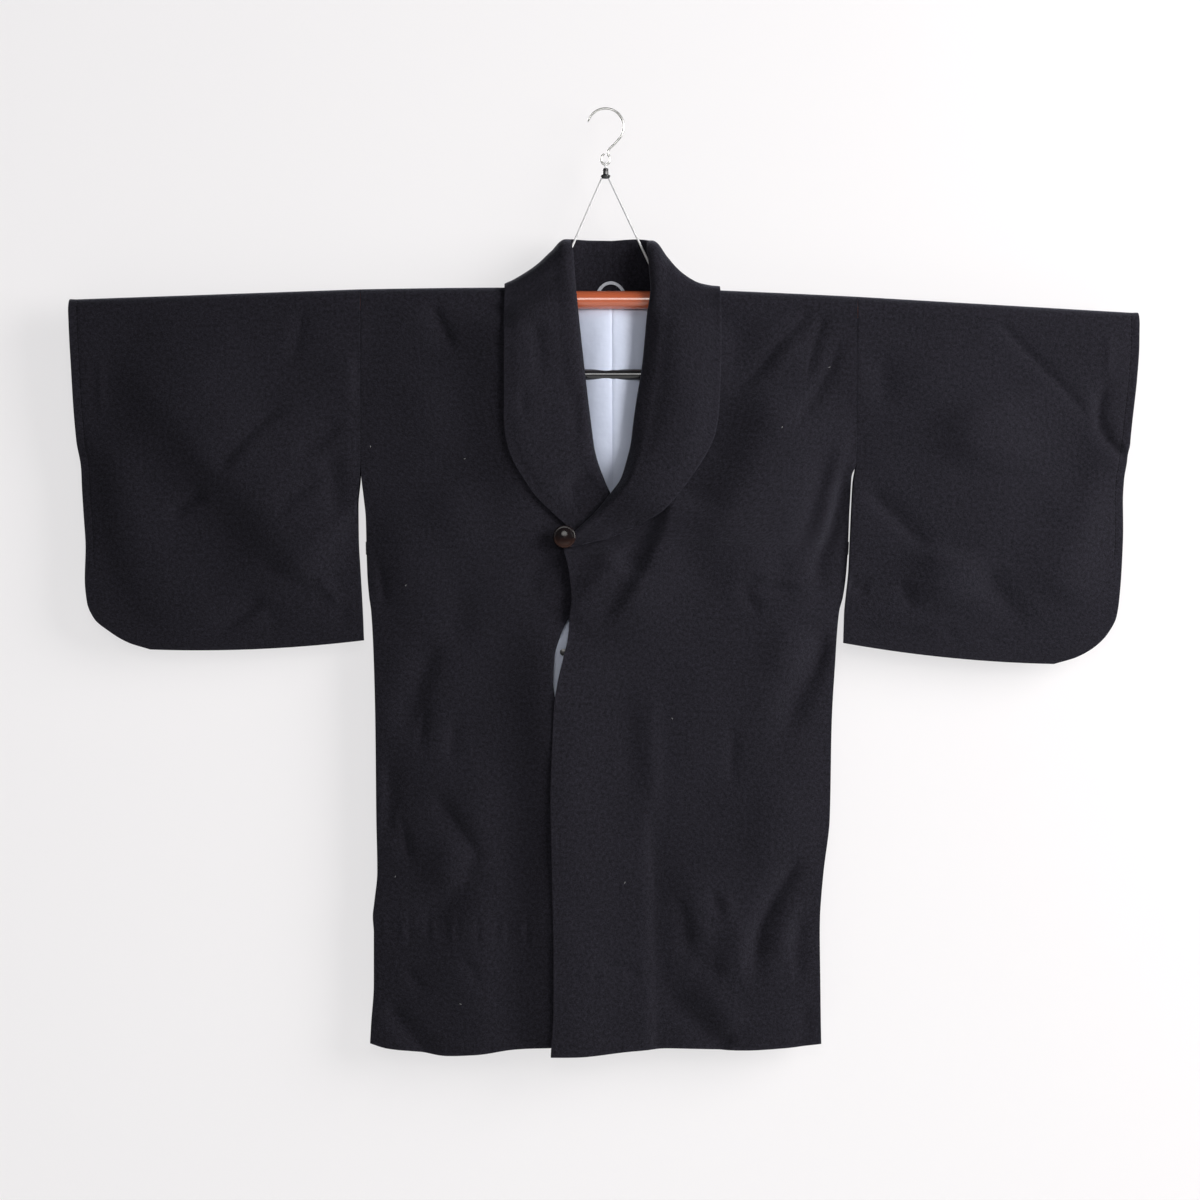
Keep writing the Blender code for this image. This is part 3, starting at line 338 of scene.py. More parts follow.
RIGHT_FRONT_CREASES = rows_of(Crease, [
    ([(-58, -590), (-66, -660), (-62, -740), (-58, -860), (-58, -1000), (-56, -1136)],
     38, 62, 15.5, 0.0, 0.2, 0.0),
    ([(222, -316), (196, -392), (172, -454), (146, -506), (100, -566)], 42, 62, 19.0, 0.0, 0.25, 0.3),
    ([(254, -234), (228, -262), (202, -288), (184, -312), (140, -352)], 10, 8, -4.2, 0.5, 0.15, 0.3),
    ([(264, -238), (250, -284), (236, -338)], 9, 8, -3.6, 0.4, 0.2, 0.4),
    ([(286, -268), (262, -324), (234, -370), (206, -402)], 10, 9, -4.0, 0.4, 0.25, 0.4),
    ([(236, -272), (212, -300), (196, -330)], 12, 10, 2.4, 0.2, 0.3, 0.4),
    ([(152, -244), (156, -300), (150, -350)], 16, 26, -3.6, 0.0, 0.2, 0.4),
    ([(286, -388), (273, -440), (264, -486), (250, -532)], 9, 7, 2.4, 0.3, 0.3, 0.35),
    ([(291, -416), (281, -460), (269, -508), (254, -548), (258, -596)], 11, 13, -8.0, 0.3, 0.25, 0.35),
    ([(269, -404), (256, -452), (243, -496), (226, -544)], 14, 12, -5.4, 0.2, 0.3, 0.35),
    ([(212, -520), (208, -560), (214, -600)], 18, 16, -3.0, 0.0, 0.35, 0.4),
    ([(88, -452), (78, -486), (66, -520), (48, -560), (26, -596), (-6, -632)], 12, 44, 12.0, 0.1, 0.16, 0.3),
    ([(20, -530), (-4, -562), (-28, -592), (-52, -624)], 18, 38, 9.0, 0.1, 0.2, 0.3),
    ([(160, -560), (172, -588), (186, -612)], 10, 8, -4.2, 0.5, 0.3, 0.4),
    ([(162, -568), (204, -574), (242, -580)], 7, 8, -3.0, 0.4, 0.2, 0.4),
    ([(170, -560), (206, -562), (240, -570)], 8, 8, 2.4, 0.2, 0.3, 0.4),
    ([(286, -622), (258, -658), (236, -694), (218, -732), (196, -766)], 20, 16, -9.0, 0.2, 0.2, 0.35),
    ([(232, -612), (214, -646), (204, -690)], 18, 26, 4.2, 0.0, 0.35, 0.4),
    ([(-74, -538), (-34, -541), (-2, -536), (38, -518)], 8, 7, 6.5, 0.3, 0.05, 0.3),
    ([(-74, -556), (-34, -561), (-6, -560), (26, -548)], 9, 8, 4.6, 0.3, 0.05, 0.4),
    ([(28, -700), (30, -770), (34, -840)], 16, 18, -2.4, 0.1, 0.3, 0.4),
    ([(54, -680), (55, -780), (57, -880)], 22, 10, 3.8, 0.2, 0.3, 0.4),
    ([(58, -800), (58, -880), (60, -990), (63, -1134)], 9, 27, -5.4, 0.3, 0.3, 0.0),
    ([(150, -726), (151, -770), (148, -820)], 7, 8, -3.0, 0.4, 0.35, 0.4),
    ([(110, -900), (108, -950), (112, -1000)], 30, 30, 3.0, 0.0, 0.35, 0.4),
    ([(236, -892), (218, -922), (200, -950), (186, -980), (180, -1014), (182, -1064)],
     14, 10, -8.4, 0.4, 0.2, 0.35),
    ([(232, -936), (214, -986), (208, -1030)], 14, 16, 5.0, 0.2, 0.35, 0.4),
    ([(238, -950), (229, -1000), (236, -1060)], 12, 13, -4.6, 0.1, 0.35, 0.4),
    ([(166, -960), (158, -1010), (156, -1060)], 20, 18, 4.0, 0.0, 0.35, 0.4),
    ([(124, -930), (132, -950), (140, -972)], 10, 6, -3.0, 0.5, 0.3, 0.4),
    ([(138, -936), (147, -956), (146, -978)], 7, 9, 2.4, 0.2, 0.35, 0.4),
    ([(80, -940), (95, -968), (98, -996), (106, -1036)], 14, 8, -4.4, 0.5, 0.25, 0.4),
    ([(116, -968), (114, -1000)], 14, 14, 3.2, 0.0, 0.4, 0.4),
    ([(64, -1042), (88, -1074), (118, -1102), (150, -1128)], 19, 16, -5.8, 0.2, 0.3, 0.1),
    ([(104, -1036), (132, -1068), (156, -1110)], 18, 20, 4.4, 0.0, 0.4, 0.2),
    ([(104, -1020), (126, -1030), (146, -1034)], 9, 12, -3.4, 0.2, 0.3, 0.4),
    ([(-14, -1020), (22, -1030), (58, -1046)], 7, 7, -2.6, 0.4, 0.3, 0.4),
    ([(240, -1060), (244, -1098), (240, -1130)], 14, 14, -3.0, 0.0, 0.4, 0.0),
    ([(118, -640), (112, -740), (114, -850)], 38, 44, 3.6, 0.0, 0.4, 0.4),
    ([(206, -790), (196, -860), (176, -930)], 28, 34, 4.4, 0.0, 0.35, 0.4),
])
LEFT_BACK_CREASES = rows_of(Crease, [
    ([(-250, -262), (-228, -330), (-196, -392), (-150, -446)], 12, 14, -5.4, 0.2, 0.3, 0.4),
    ([(-276, -420), (-258, -490), (-246, -560), (-252, -620)], 12, 12, -5.0, 0.2, 0.35, 0.35),
    ([(-120, -300), (-96, -420), (-88, -560)], 34, 30, 3.2, 0.0, 0.35, 0.4),
    ([(-262, -660), (-228, -720), (-204, -800)], 16, 14, -5.8, 0.1, 0.35, 0.4),
    ([(-70, -640), (-78, -780), (-66, -930)], 26, 30, -3.2, 0.0, 0.4, 0.4),
    ([(-190, -880), (-206, -960), (-198, -1050)], 16, 18, -6.1, 0.1, 0.35, 0.4),
    ([(-150, -900), (-142, -1010), (-136, -1124)], 26, 24, 4.3, 0.0, 0.4, 0.0),
    ([(-52, -980), (-60, -1060), (-84, -1124)], 15, 15, -4.7, 0.1, 0.4, 0.1),
    ([(-262, -980), (-214, -992), (-164, -996)], 5, 5, -1.4, 0.3, 0.3, 0.4),
])
RIGHT_BACK_CREASES = rows_of(Crease, [
    ([(264, -270), (236, -330), (196, -380), (160, -440)], 13, 12, -5.4, 0.2, 0.3, 0.4),
    ([(284, -420), (262, -488), (254, -560), (262, -620)], 12, 12, -5.4, 0.2, 0.35, 0.35),
    ([(128, -300), (112, -430), (104, -580)], 32, 30, 3.6, 0.0, 0.35, 0.4),
    ([(254, -668), (226, -730), (196, -810)], 15, 15, -5.4, 0.1, 0.35, 0.4),
    ([(90, -700), (84, -820), (96, -960)], 28, 26, -3.2, 0.0, 0.4, 0.4),
    ([(226, -860), (200, -940), (190, -1030)], 17, 15, -6.8, 0.2, 0.35, 0.4),
    ([(150, -900), (146, -1010), (150, -1124)], 24, 26, 4.3, 0.0, 0.4, 0.0),
    ([(60, -1000), (74, -1066), (104, -1124)], 16, 14, -5.0, 0.1, 0.4, 0.1),
    ([(150, -1010), (206, -1006), (250, -1000)], 5, 5, -1.4, 0.3, 0.3, 0.4),
])
LEFT_SLEEVE_CREASES = rows_of(Crease, [
    ([(-580, -270), (-536, -340), (-482, -396), (-434, -446), (-392, -498), (-352, -544), (-318, -566)],
     42, 84, 18.0, 0.0, 0.3, 0.15),
    ([(-620, -380), (-596, -450), (-576, -530), (-546, -590), (-508, -640)], 26, 62, 9.0, 0.0, 0.2, 0.0),
    ([(-420, -538), (-382, -560), (-346, -584)], 12, 9, -3.6, 0.5, 0.3, 0.3),
    ([(-474, -462), (-498, -472), (-526, -494)], 12, 6, -5.0, 0.5, 0.25, 0.4),
    ([(-466, -442), (-430, -396), (-402, -370), (-372, -352)], 26, 7, -5.4, 0.4, 0.2, 0.3),
    ([(-374, -420), (-342, -400), (-312, -372)], 20, 7, -4.0, 0.3, 0.3, 0.3),
    ([(-398, -490), (-362, -458), (-330, -438)], 18, 7, -4.0, 0.3, 0.3, 0.3),
    ([(-362, -238), (-370, -280), (-384, -314)], 8, 9, -2.8, 0.3, 0.2, 0.4),
    ([(-306, -286), (-301, -330), (-306, -372)], 36, 14, 4.5, 0.0, 0.35, 0.4),
    ([(-476, -642), (-438, -610), (-400, -584)], 20, 6, -7.0, 0.4, 0.0, 0.3),
    ([(-412, -590), (-400, -616), (-396, -642)], 12, 12, -3.0, 0.2, 0.35, 0.0),
    ([(-346, -560), (-331, -578), (-316, -596)], 7, 9, 3.6, 0.3, 0.3, 0.4),
    ([(-334, -404), (-326, -450), (-320, -510)], 12, 16, -5.0, 0.1, 0.3, 0.4),
    ([(-604, -290), (-604, -390)], 4, 5, 1.2, 0.3, 0.2, 0.4),
    ([(-318, -590), (-312, -640)], 12, 10, -2.8, 0.1, 0.35, 0.0),
])
RIGHT_SLEEVE_CREASES = rows_of(Crease, [
    ([(456, -240), (500, -288), (540, -328), (570, -362), (584, -388)], 6, 6, -3.2, 0.5, 0.15, 0.25),
    ([(604, -320), (592, -352), (594, -384), (608, -402), (626, -418)], 9, 9, -5.6, 0.5, 0.3, 0.0),
    ([(600, -393), (614, -398), (628, -408)], 6, 7, 2.8, 0.4, 0.3, 0.2),
    ([(436, -340), (446, -390), (440, -440)], 40, 62, 13.0, 0.0, 0.3, 0.4),
    ([(566, -350), (560, -410), (552, -470), (560, -530)], 60, 28, -6.0, 0.0, 0.3, 0.4),
    ([(306, -450), (336, -479), (366, -508), (394, -532)], 10, 15, -5.4, 0.4, 0.25, 0.3),
    ([(412, -520), (406, -560), (398, -606)], 36, 44, 13.0, 0.0, 0.3, 0.4),
    ([(352, -560), (360, -584), (376, -604)], 9, 10, -3.0, 0.3, 0.3, 0.4),
    ([(446, -540), (468, -576), (496, -606), (520, -626)], 18, 15, -5.4, 0.2, 0.3, 0.4),
    ([(402, -620), (416, -636), (430, -650)], 9, 9, -3.4, 0.4, 0.3, 0.2),
    ([(456, -626), (468, -642), (480, -656)], 9, 9, -2.8, 0.3, 0.3, 0.2),
    ([(290, -568), (304, -573), (318, -580)], 9, 9, -3.4, 0.4, 0.2, 0.4),
    ([(564, -650), (584, -636), (604, -614)], 6, 7, -3.0, 0.5, 0.3, 0.3),
    ([(292, -626), (350, -630), (408, -634)], 10, 9, -4.4, 0.0, 0.2, 0.4),
    ([(602, -262), (602, -330)], 5, 5, 1.4, 0.3, 0.3, 0.4),
    ([(326, -290), (332, -330), (330, -370)], 14, 16, -3.2, 0.1, 0.3, 0.4),
    ([(380, -280), (392, -350), (388, -430)], 40, 40, 3.6, 0.0, 0.35, 0.4),
    ([(570, -430), (572, -510), (548, -600)], 48, 58, 11.0, 0.0, 0.3, 0.2),
])
SLEEVE_BACK_CREASES = {
    "left": rows_of(Crease, [
        ([(-330, -300), (-400, -380), (-480, -450)], 16, 18, -6.1, 0.2, 0.35, 0.4),
        ([(-540, -330), (-500, -430), (-430, -520), (-360, -576)], 18, 20, -7.2, 0.1, 0.35, 0.35),
        ([(-600, -440), (-576, -530), (-530, -600)], 14, 12, -4.0, 0.2, 0.35, 0.35),
        ([(-330, -460), (-342, -530), (-336, -590)], 18, 18, 3.6, 0.0, 0.4, 0.4),
    ]),
    "right": rows_of(Crease, [
        ([(470, -280), (530, -340), (590, -396)], 16, 14, -6.1, 0.2, 0.35, 0.35),
        ([(330, -350), (380, -450), (450, -530), (500, -590)], 20, 18, -7.2, 0.1, 0.35, 0.35),
        ([(590, -450), (570, -530), (520, -590)], 16, 18, 4.0, 0.0, 0.4, 0.4),
        ([(320, -540), (350, -590), (400, -622)], 12, 12, -4.0, 0.2, 0.35, 0.35),
    ]),
}
COLLAR_CREASES = {
    "left": rows_of(Crease, [
        ([(-98, -226), (-104, -330), (-96, -402), (-72, -446), (-42, -486)], 17, 56, 5.0, 0.0, 0.1, 0.2),
        ([(-84, -250), (-80, -290), (-76, -336)], 10, 9, -3.2, 0.3, 0.25, 0.4),
        ([(-104, -336), (-98, -356), (-102, -376)], 9, 8, -2.4, 0.2, 0.35, 0.4),
        ([(-38, -326), (-34, -370), (-36, -412)], 9, 10, -2.6, 0.2, 0.3, 0.4),
        ([(-48, -436), (-28, -462), (-10, -492)], 14, 18, -7.0, 0.1, 0.3, 0.4),
    ]),
    "right": rows_of(Crease, [
        ([(86, -226), (92, -300), (86, -366), (68, -412), (40, -450), (4, -482), (-22, -500)],
         34, 50, 15.0, 0.0, 0.12, 0.3),
        ([(112, -320), (108, -380), (88, -430), (56, -466)], 16, 22, 2.4, 0.1, 0.3, 0.4),
        ([(12, -508), (-10, -518), (-34, -530)], 7, 6, 2.8, 0.3, 0.3, 0.3),
        ([(46, -498), (20, -511), (-8, -524)], 8, 8, -4.0, 0.4, 0.2, 0.3),
    ]),
}
LINING_CREASES = rows_of(Crease, [
    ([(5, -291), (22, -297), (36, -302)], 5, 5, 1.2, 0.3, 0.3, 0.4),
    ([(17, -388), (26, -396), (33, -404)], 5, 5, 1.1, 0.3, 0.3, 0.4),
    ([(-30, -262), (-34, -330), (-28, -400)], 14, 14, -1.2, 0.0, 0.3, 0.4),
    ([(44, -262), (40, -330), (34, -380)], 12, 14, 1.0, 0.0, 0.3, 0.4),
    ([(-52, -572), (-54, -620), (-56, -670), (-60, -724), (-62, -790)], 40, 46, 22.5, 0.0, 0.3, 0.3),
    ([(0, -215), (2, -300), (6, -390), (8, -480)], 44, 44, 17.0, 0.0, 0.15, 0.3),
])
FRONT_CREASES = {"left": LEFT_FRONT_CREASES, "right": RIGHT_FRONT_CREASES}
BACK_CREASES = {"left": LEFT_BACK_CREASES, "right": RIGHT_BACK_CREASES}
SLEEVE_CREASES = {"left": LEFT_SLEEVE_CREASES, "right": RIGHT_SLEEVE_CREASES}


# ---------------------------------------------------------------- reading the tables
class Smooth:
    """A smooth line through a column of a table, which never swings past its rows."""

    def __init__(self, table, column):
        rows = sorted(table, key=lambda row: row[0])
        self.at = np.array([row[0] for row in rows], float)
        self.value = np.array([getattr(row, column) for row in rows], float)
        step = np.diff(self.at)
        slope = np.diff(self.value) / step
        self.tangent = np.zeros(len(rows))
        self.tangent[0], self.tangent[-1] = slope[0], slope[-1]
        for i in range(1, len(rows) - 1):
            before, after = slope[i - 1], slope[i]
            if before * after > 0.0:
                first = 2.0 * step[i] + step[i - 1]
                second = step[i] + 2.0 * step[i - 1]
                self.tangent[i] = (first + second) / (first / before + second / after)

    def __call__(self, at):
        at = np.clip(np.asarray(at, float), self.at[0], self.at[-1])
        i = np.clip(np.searchsorted(self.at, at, side="right") - 1, 0, len(self.at) - 2)
        step = self.at[i + 1] - self.at[i]
        t = (at - self.at[i]) / step
        start = (1.0 + 2.0 * t) * (1.0 - t) ** 2 * self.value[i] + t * (1.0 - t) ** 2 * step * self.tangent[i]
        end = t * t * (3.0 - 2.0 * t) * self.value[i + 1] - t * t * (1.0 - t) * step * self.tangent[i + 1]
        return start + end


def mix(a, b, share):
    return a + (b - a) * share


def ease(share):
    """0 to 1 with a level start and end."""
    share = np.clip(share, 0.0, 1.0)
    return share * share * (3.0 - 2.0 * share)


bar_height = Smooth(BAR_LINE, "height")
body_depth = Smooth(BODY_DEPTH, "half_depth")
side_half = Smooth(SIDE_EDGE, "half_depth")
side_x = {side: Smooth(SIDE_EDGE, side + "_x") for side in ("left", "right")}
edge_x = {side: Smooth(FRONT_EDGE, side + "_x") for side in ("left", "right")}
lap_at = Smooth(FRONT_EDGE, "lap")
front_hem = {"left": Smooth(LEFT_HEM, "height"), "right": Smooth(RIGHT_HEM, "height")}
neck_x = {side: Smooth(NECK_SEAM, side + "_x") for side in ("left", "right")}
STEP = {"left": -1.0, "right": 1.0}      # which way the side seam lies


def smooth_path(path, steps):
    """Points at even shares of a rounded line through the given ones."""
    points = np.array(path, float)
    if len(points) == 2:
        return mix(points[0], points[1], np.linspace(0.0, 1.0, steps)[:, None])
    along = np.concatenate([[0.0], np.cumsum(np.linalg.norm(np.diff(points, axis=0), axis=1))])
    at = np.linspace(0.0, along[-1], steps)
    lines = []
    for column in range(points.shape[1]):
        tangent = np.gradient(points[:, column], along)
        i = np.clip(np.searchsorted(along, at, side="right") - 1, 0, len(along) - 2)
        step = along[i + 1] - along[i]
        t = (at - along[i]) / step
        lines.append((1 + 2 * t) * (1 - t) ** 2 * points[i, column] + t * (1 - t) ** 2 * step * tangent[i]
                     + t * t * (3 - 2 * t) * points[i + 1, column] - t * t * (1 - t) * step * tangent[i + 1])
    return np.stack(lines, axis=1)


LIT_SIDE = (0.93, 0.36)      # the way that a crease's right flank lies from its path


def crease_relief(creases, x, z):
    """How far the creases lift the cloth off its even form at places of a surface."""
    relief = np.zeros(np.broadcast(x, z).shape)
    for crease in creases:
        path = smooth_path(crease.path, 6 * len(crease.path))
        runs = np.diff(path, axis=0)
        lengths = np.linalg.norm(runs, axis=1)
        reached = np.concatenate([[0.0], np.cumsum(lengths)])
        whole = path[-1] - path[0]
        facing = -1.0 if (-whole[1] * LIT_SIDE[0] + whole[0] * LIT_SIDE[1]) < 0.0 else 1.0
        nearest = np.full(relief.shape, np.inf)
        side = np.zeros(relief.shape)
        share = np.zeros(relief.shape)
        for start, run, length, before in zip(path, runs, lengths, reached):
            off_x, off_z = x - start[0], z - start[1]
            along = np.clip((off_x * run[0] + off_z * run[1]) / length ** 2, 0.0, 1.0)
            off_x, off_z = off_x - along * run[0], off_z - along * run[1]
            away = np.hypot(off_x, off_z)
            closer = away < nearest
            nearest = np.where(closer, away, nearest)
            side = np.where(closer, facing * (run[0] * off_z - run[1] * off_x), side)
            share = np.where(closer, (before + along * length) / reached[-1], share)
        width = np.where(side > 0.0, crease.right, crease.left)
        power = 2.0 - 0.85 * crease.crisp
        fade = 1.0
        if crease.start > 0.0:
            fade = fade * ease(share / crease.start)
        if crease.end > 0.0:
            fade = fade * ease((1.0 - share) / crease.end)
        relief += crease.height * fade * np.exp(-(nearest / width) ** power)
    return relief


Ripple = namedtuple("Ripple", "along_x along_z start")
RIPPLES = rows_of(Ripple, [
    (0.041, 0.012, 0.3),
    (-0.017, 0.034, 1.9),
    (0.063, -0.021, 4.1),
    (0.026, 0.058, 2.6),
    (-0.088, 0.031, 0.9),
    (0.102, 0.071, 5.2),
])


def unevenness(x, z, shift):
    """A faint waviness, which no hung cloth is without, in millimetres."""
    total = 0.0
    for ripple in RIPPLES:
        wave = np.sin(ripple.along_x * x + ripple.along_z * z + ripple.start + shift)
        total = total + wave * 0.014 / math.hypot(ripple.along_x, ripple.along_z)
    return total


def pucker(away, along, reach, shift):
    """Small gathers beside a seam, where its thread draws the cloth in."""
    wave = np.sin(along * 0.31 + shift) + 0.7 * np.sin(along * 0.53 + 2.1 * shift) + 0.5 * np.sin(along * 0.17)
    return 0.34 * wave * np.exp(-(away / reach) ** 2)


# ---------------------------------------------------------------- the cloth's surfaces
FRONT_ROWS = 290
WRAP_ROWS = 17
BACK_ROWS = 116
BODY_COLUMNS = 106
ON_PANEL = 2.95              # from the middle of the wool to the middle of a collar that lies on it
OPEN_STITCH = 1000.0         # a distance so large that no stitching is drawn


def half_depth(side, x, z):
    """How far the middle of the wool lies from the coat's middle plane."""
    to_side = np.abs(side_x[side](z) - x)
    return mix(side_half(z), body_depth(z), np.sin(0.5 * math.pi * np.clip(to_side / SIDE_ROUND, 0.0, 1.0)))


def beside_armhole(z):
    """1 along the armhole seam, dying out at its lower end."""
    return ease((z - ARMHOLE_FADE) / 20.0)


def settled(relief, half, under_bar, to_armhole, z):
    """Folds die out where the wool is sewn flat, lies on the bar, or meets the armhole seam."""
    relief = relief * ease((half - 1.0) / 5.0) * ease(under_bar / 16.0)
    held = beside_armhole(z) * (1.0 - ease(to_armhole / 16.0))
    return relief * (1.0 - 0.8 * held)


HEM_PUCKER = {"left": 1.6, "right": 0.8}   # how far the turned hem draws the cloth in, in millimetres


def hem_turning(side, x):
    """The height at which the inner edge of the turned-up hem draws the front in."""
    return -986.0 - 0.02 * x if side == "left" else -1030.0 - 9.0 * np.cos(x / 42.0)


def front_form(side, x, z):
    """The front's even form; the right front laps over the left one."""
    y = -half_depth(side, x, z)
    if side == "right":
        from_edge = x - edge_x["right"](z)
        y = y - lap_at(z) * (1.0 - ease((from_edge - LAP_FLAT) / LAP_EASE))
    return y


def front_surface(side, x, z):
    """The middle of the front's wool, with its folds."""
    settings = bpy.context.scene.kimono_coat
    to_armhole = np.abs(side_x[side](z) - x)
    relief = crease_relief(FRONT_CREASES[side], x, z) * settings.fold_strength
    relief = relief + unevenness(x, z, 0.0 if side == "left" else 2.0)
    relief = relief + pucker(to_armhole, z, 9.0, 1.0) * beside_armhole(z)
    relief = relief + HEM_PUCKER[side] * pucker(z - hem_turning(side, x), x, 15.0, 2.0)
    relief = settled(relief, half_depth(side, x, z), bar_height(x) - z, to_armhole, z)
    if side == "right":
        from_edge = x - edge_x["right"](z)
        over_lapel = ease((lap_at(z) - 3.6) / 1.8) * (1.0 - ease((from_edge - 60.0) / 40.0))
        relief = np.maximum(relief, mix(DEEPEST_FOLD, 0.0, over_lapel))
    return front_form(side, x, z) - relief


def back_surface(side, x, z):
    """The middle of the back's wool, with its folds."""
    settings = bpy.context.scene.kimono_coat
    half = half_depth(side, x, z)
    to_armhole = np.abs(side_x[side](z) - x)
    relief = crease_relief(BACK_CREASES[side], x, z) * settings.fold_strength
    relief = relief + unevenness(x, z, 4.0 if side == "left" else 5.0)
    relief = relief + pucker(to_armhole, z, 9.0, 3.0) * beside_armhole(z)
    relief = relief + pucker(np.abs(x - CENTRE_BACK_X), z, 8.0, 5.0)
    return half + settled(relief, half, bar_height(x) - z, to_armhole, z)


def hem_at(side, x, front):
    return front_hem[side](x) if front else np.full(np.shape(x), BACK_HEM)


def panel_places(side, inner_x, inner_z, shares, front):
    """Places of a panel's rows: each row lies at one share of the drop from the bar to the hem."""
    inner_x, inner_z = inner_x[:, None], inner_z[:, None]
    drop = (inner_z - bar_height(inner_x)) / (hem_at(side, inner_x, front) - bar_height(inner_x))
    outer_x = side_x[side](inner_z)
    for _ in range(3):
        outer_z = mix(bar_height(outer_x), hem_at(side, outer_x, front), drop)
        outer_x = side_x[side](outer_z)
    x = mix(inner_x, outer_x, shares[None, :])
    z = mix(bar_height(x), hem_at(side, x, front), drop)
    return x, z


def body_shares():
    """Shares across a body panel, closer together at its two edges."""
    even = np.linspace(0.0, 1.0, BODY_COLUMNS)
    return 0.6 * even + 0.4 * 0.5 * (1.0 - np.cos(math.pi * even))


def wrapped(x, turn, radius):
    """Points on the wool over the bar; turn is the angle round the bar from the front."""
    angle = np.radians(turn)
    y = -radius * np.cos(angle) * np.ones_like(x)
    return np.stack([x, y, bar_height(x) + radius * np.sin(angle)], axis=-1)


def over_bar(side, turns, shares, radius):
    """Rows over the bar, from the neck seam out to the armhole."""
    inner = neck_x[side](turns) + STEP[side] * 0.5 * CENTRE_SEAM
    return wrapped(mix(inner, side_x[side](SHOULDER_HEIGHT), shares[None, :]), turns, radius)


def back_places(side, rows, bottom, shares):
    """Places of the back's rows, from the bar down to a level."""
    inner_x = np.full(rows, CENTRE_BACK_X + STEP[side] * 0.5 * CENTRE_SEAM)
    levels = np.linspace(float(bar_height(CENTRE_BACK_X)), bottom, rows)
    return panel_places(side, inner_x, levels, shares, False)


def body_points(side):
    """A body panel from the front hem up, over the bar and down to the back hem."""
    shares = body_shares()
    top_x, hem_x = edge_x[side](FRONT_TOP), edge_x[side](FRONT_BOTTOM)
    levels = np.linspace(float(front_hem[side](hem_x)), float(bar_height(top_x)), FRONT_ROWS)
    x, z = panel_places(side, edge_x[side](levels), levels, shares, True)
    front = np.stack([x, front_surface(side, x, z), z], axis=-1)
    turns = np.linspace(0.0, BACK_TURN, WRAP_ROWS + 2)[1:-1, None]
    over = over_bar(side, turns, shares, WRAP_RADIUS)
    x, z = back_places(side, BACK_ROWS, BACK_HEM, shares)
    back = np.stack([x, back_surface(side, x, z), z], axis=-1)
    return np.concatenate([front, over, back])


def sleeve_shares():
    """Shares across a sleeve, closer together at the armhole and round the cuff."""
    even = np.linspace(0.0, 1.0, 112)
    return 0.55 * even + 0.45 * 0.5 * (1.0 - np.cos(math.pi * even))


def sleeve_side(side, drops, facing):
    """The front (facing -1) or the back (facing 1) of a sleeve."""
    settings = bpy.context.scene.kimono_coat
    held = SLEEVE_FRAME[side]
    share = sleeve_shares()[None, :]
    drops = drops[:, None]
    column = {name: Smooth(SLEEVE_ROWS, name)(drops) for name in SleeveRow._fields[1:]}
    cuff, inner = column[side + "_cuff"], column[side + "_inner"]
    x = mix(inner, cuff, share)
    bow = 4.0 * share * (1.0 - share)
    top = mix(held.inner_top, held.cuff_top, share)
    bottom = mix(held.inner_bottom, held.cuff_bottom, share) - SLEEVE_DIP * bow
    z = mix(top, bottom, drops)
    bulge = column["mid_half"] - 0.5 * (column["inner_half"] + column["cuff_half"])
    half = mix(column["inner_half"], column["cuff_half"], share) + bulge * bow
    creases = SLEEVE_CREASES[side] if facing < 0.0 else SLEEVE_BACK_CREASES[side]
    relief = crease_relief(creases, x, z) * settings.fold_strength
    relief = relief + unevenness(x, z, 7.0 + facing)
    to_armhole = np.abs(x - inner)
    relief = relief + pucker(to_armhole, z, 9.0, 1.0) * beside_armhole(z)
    relief = relief + 0.5 * pucker(np.abs(cuff - x) - 10.0, z, 5.0, 2.0)
    relief = settled(relief, half, top - z, to_armhole, z)
    return np.stack([x, facing * (half + relief), z], axis=-1)


def sleeve_points(side):
    """A sleeve from its lower edge up the front, over the bar and down the back."""
    front_drops = np.concatenate([np.linspace(1.0, 0.9, 36)[:-1], np.linspace(0.9, 0.0, 124)])
    back_drops = np.concatenate([np.linspace(0.0, 0.9, 60), np.linspace(0.9, 1.0, 24)[1:]])
    front = sleeve_side(side, front_drops, -1.0)
    back = sleeve_side(side, back_drops, 1.0)
    turns = np.linspace(0.0, BACK_TURN, WRAP_ROWS + 2)[1:-1, None]
    top_x = front[-1, :, 0][None, :]
    held = SLEEVE_FRAME[side]
    top_z = mix(held.inner_top, held.cuff_top, sleeve_shares())[None, :]
    angle = np.radians(turns)
    over = np.stack([np.repeat(top_x, len(turns), axis=0),
                     -WRAP_RADIUS * np.cos(angle) * np.ones_like(top_x),
                     top_z + WRAP_RADIUS * np.sin(angle)], axis=-1)
    return np.concatenate([front, over, back])


def lining_points(side):
    """Half the back lining, from the top of the bar down, just inside the back."""
    rows_over, rows_down = 9, 130
    inset = 0.5 * WOOL_WALL + 0.3 + 0.5 * LINING_WALL
    shares = np.linspace(0.0, LINING_REACH, 56)
    turns = np.linspace(90.0, BACK_TURN, rows_over + 1)[:-1, None]
    over = over_bar(side, turns, shares, WRAP_RADIUS - inset)
    x, z = back_places(side, rows_down, BACK_HEM + LINING_HEM_RISE, shares)
    half = half_depth(side, x, z)
    relief = crease_relief(LINING_CREASES, x, z) + 0.5 * unevenness(x, z, 8.0)
    relief = relief - 0.9 * np.exp(-np.abs(x - CENTRE_BACK_X) / 3.0)
    relief = np.maximum(relief * ease((half - 3.0) / 5.0) * ease((bar_height(x) - z) / 16.0), -0.3)
    outside = np.minimum(back_surface(side, x, z) - inset, half - inset)
    down = np.stack([x, outside - relief, z], axis=-1)
    return np.concatenate([over, down])


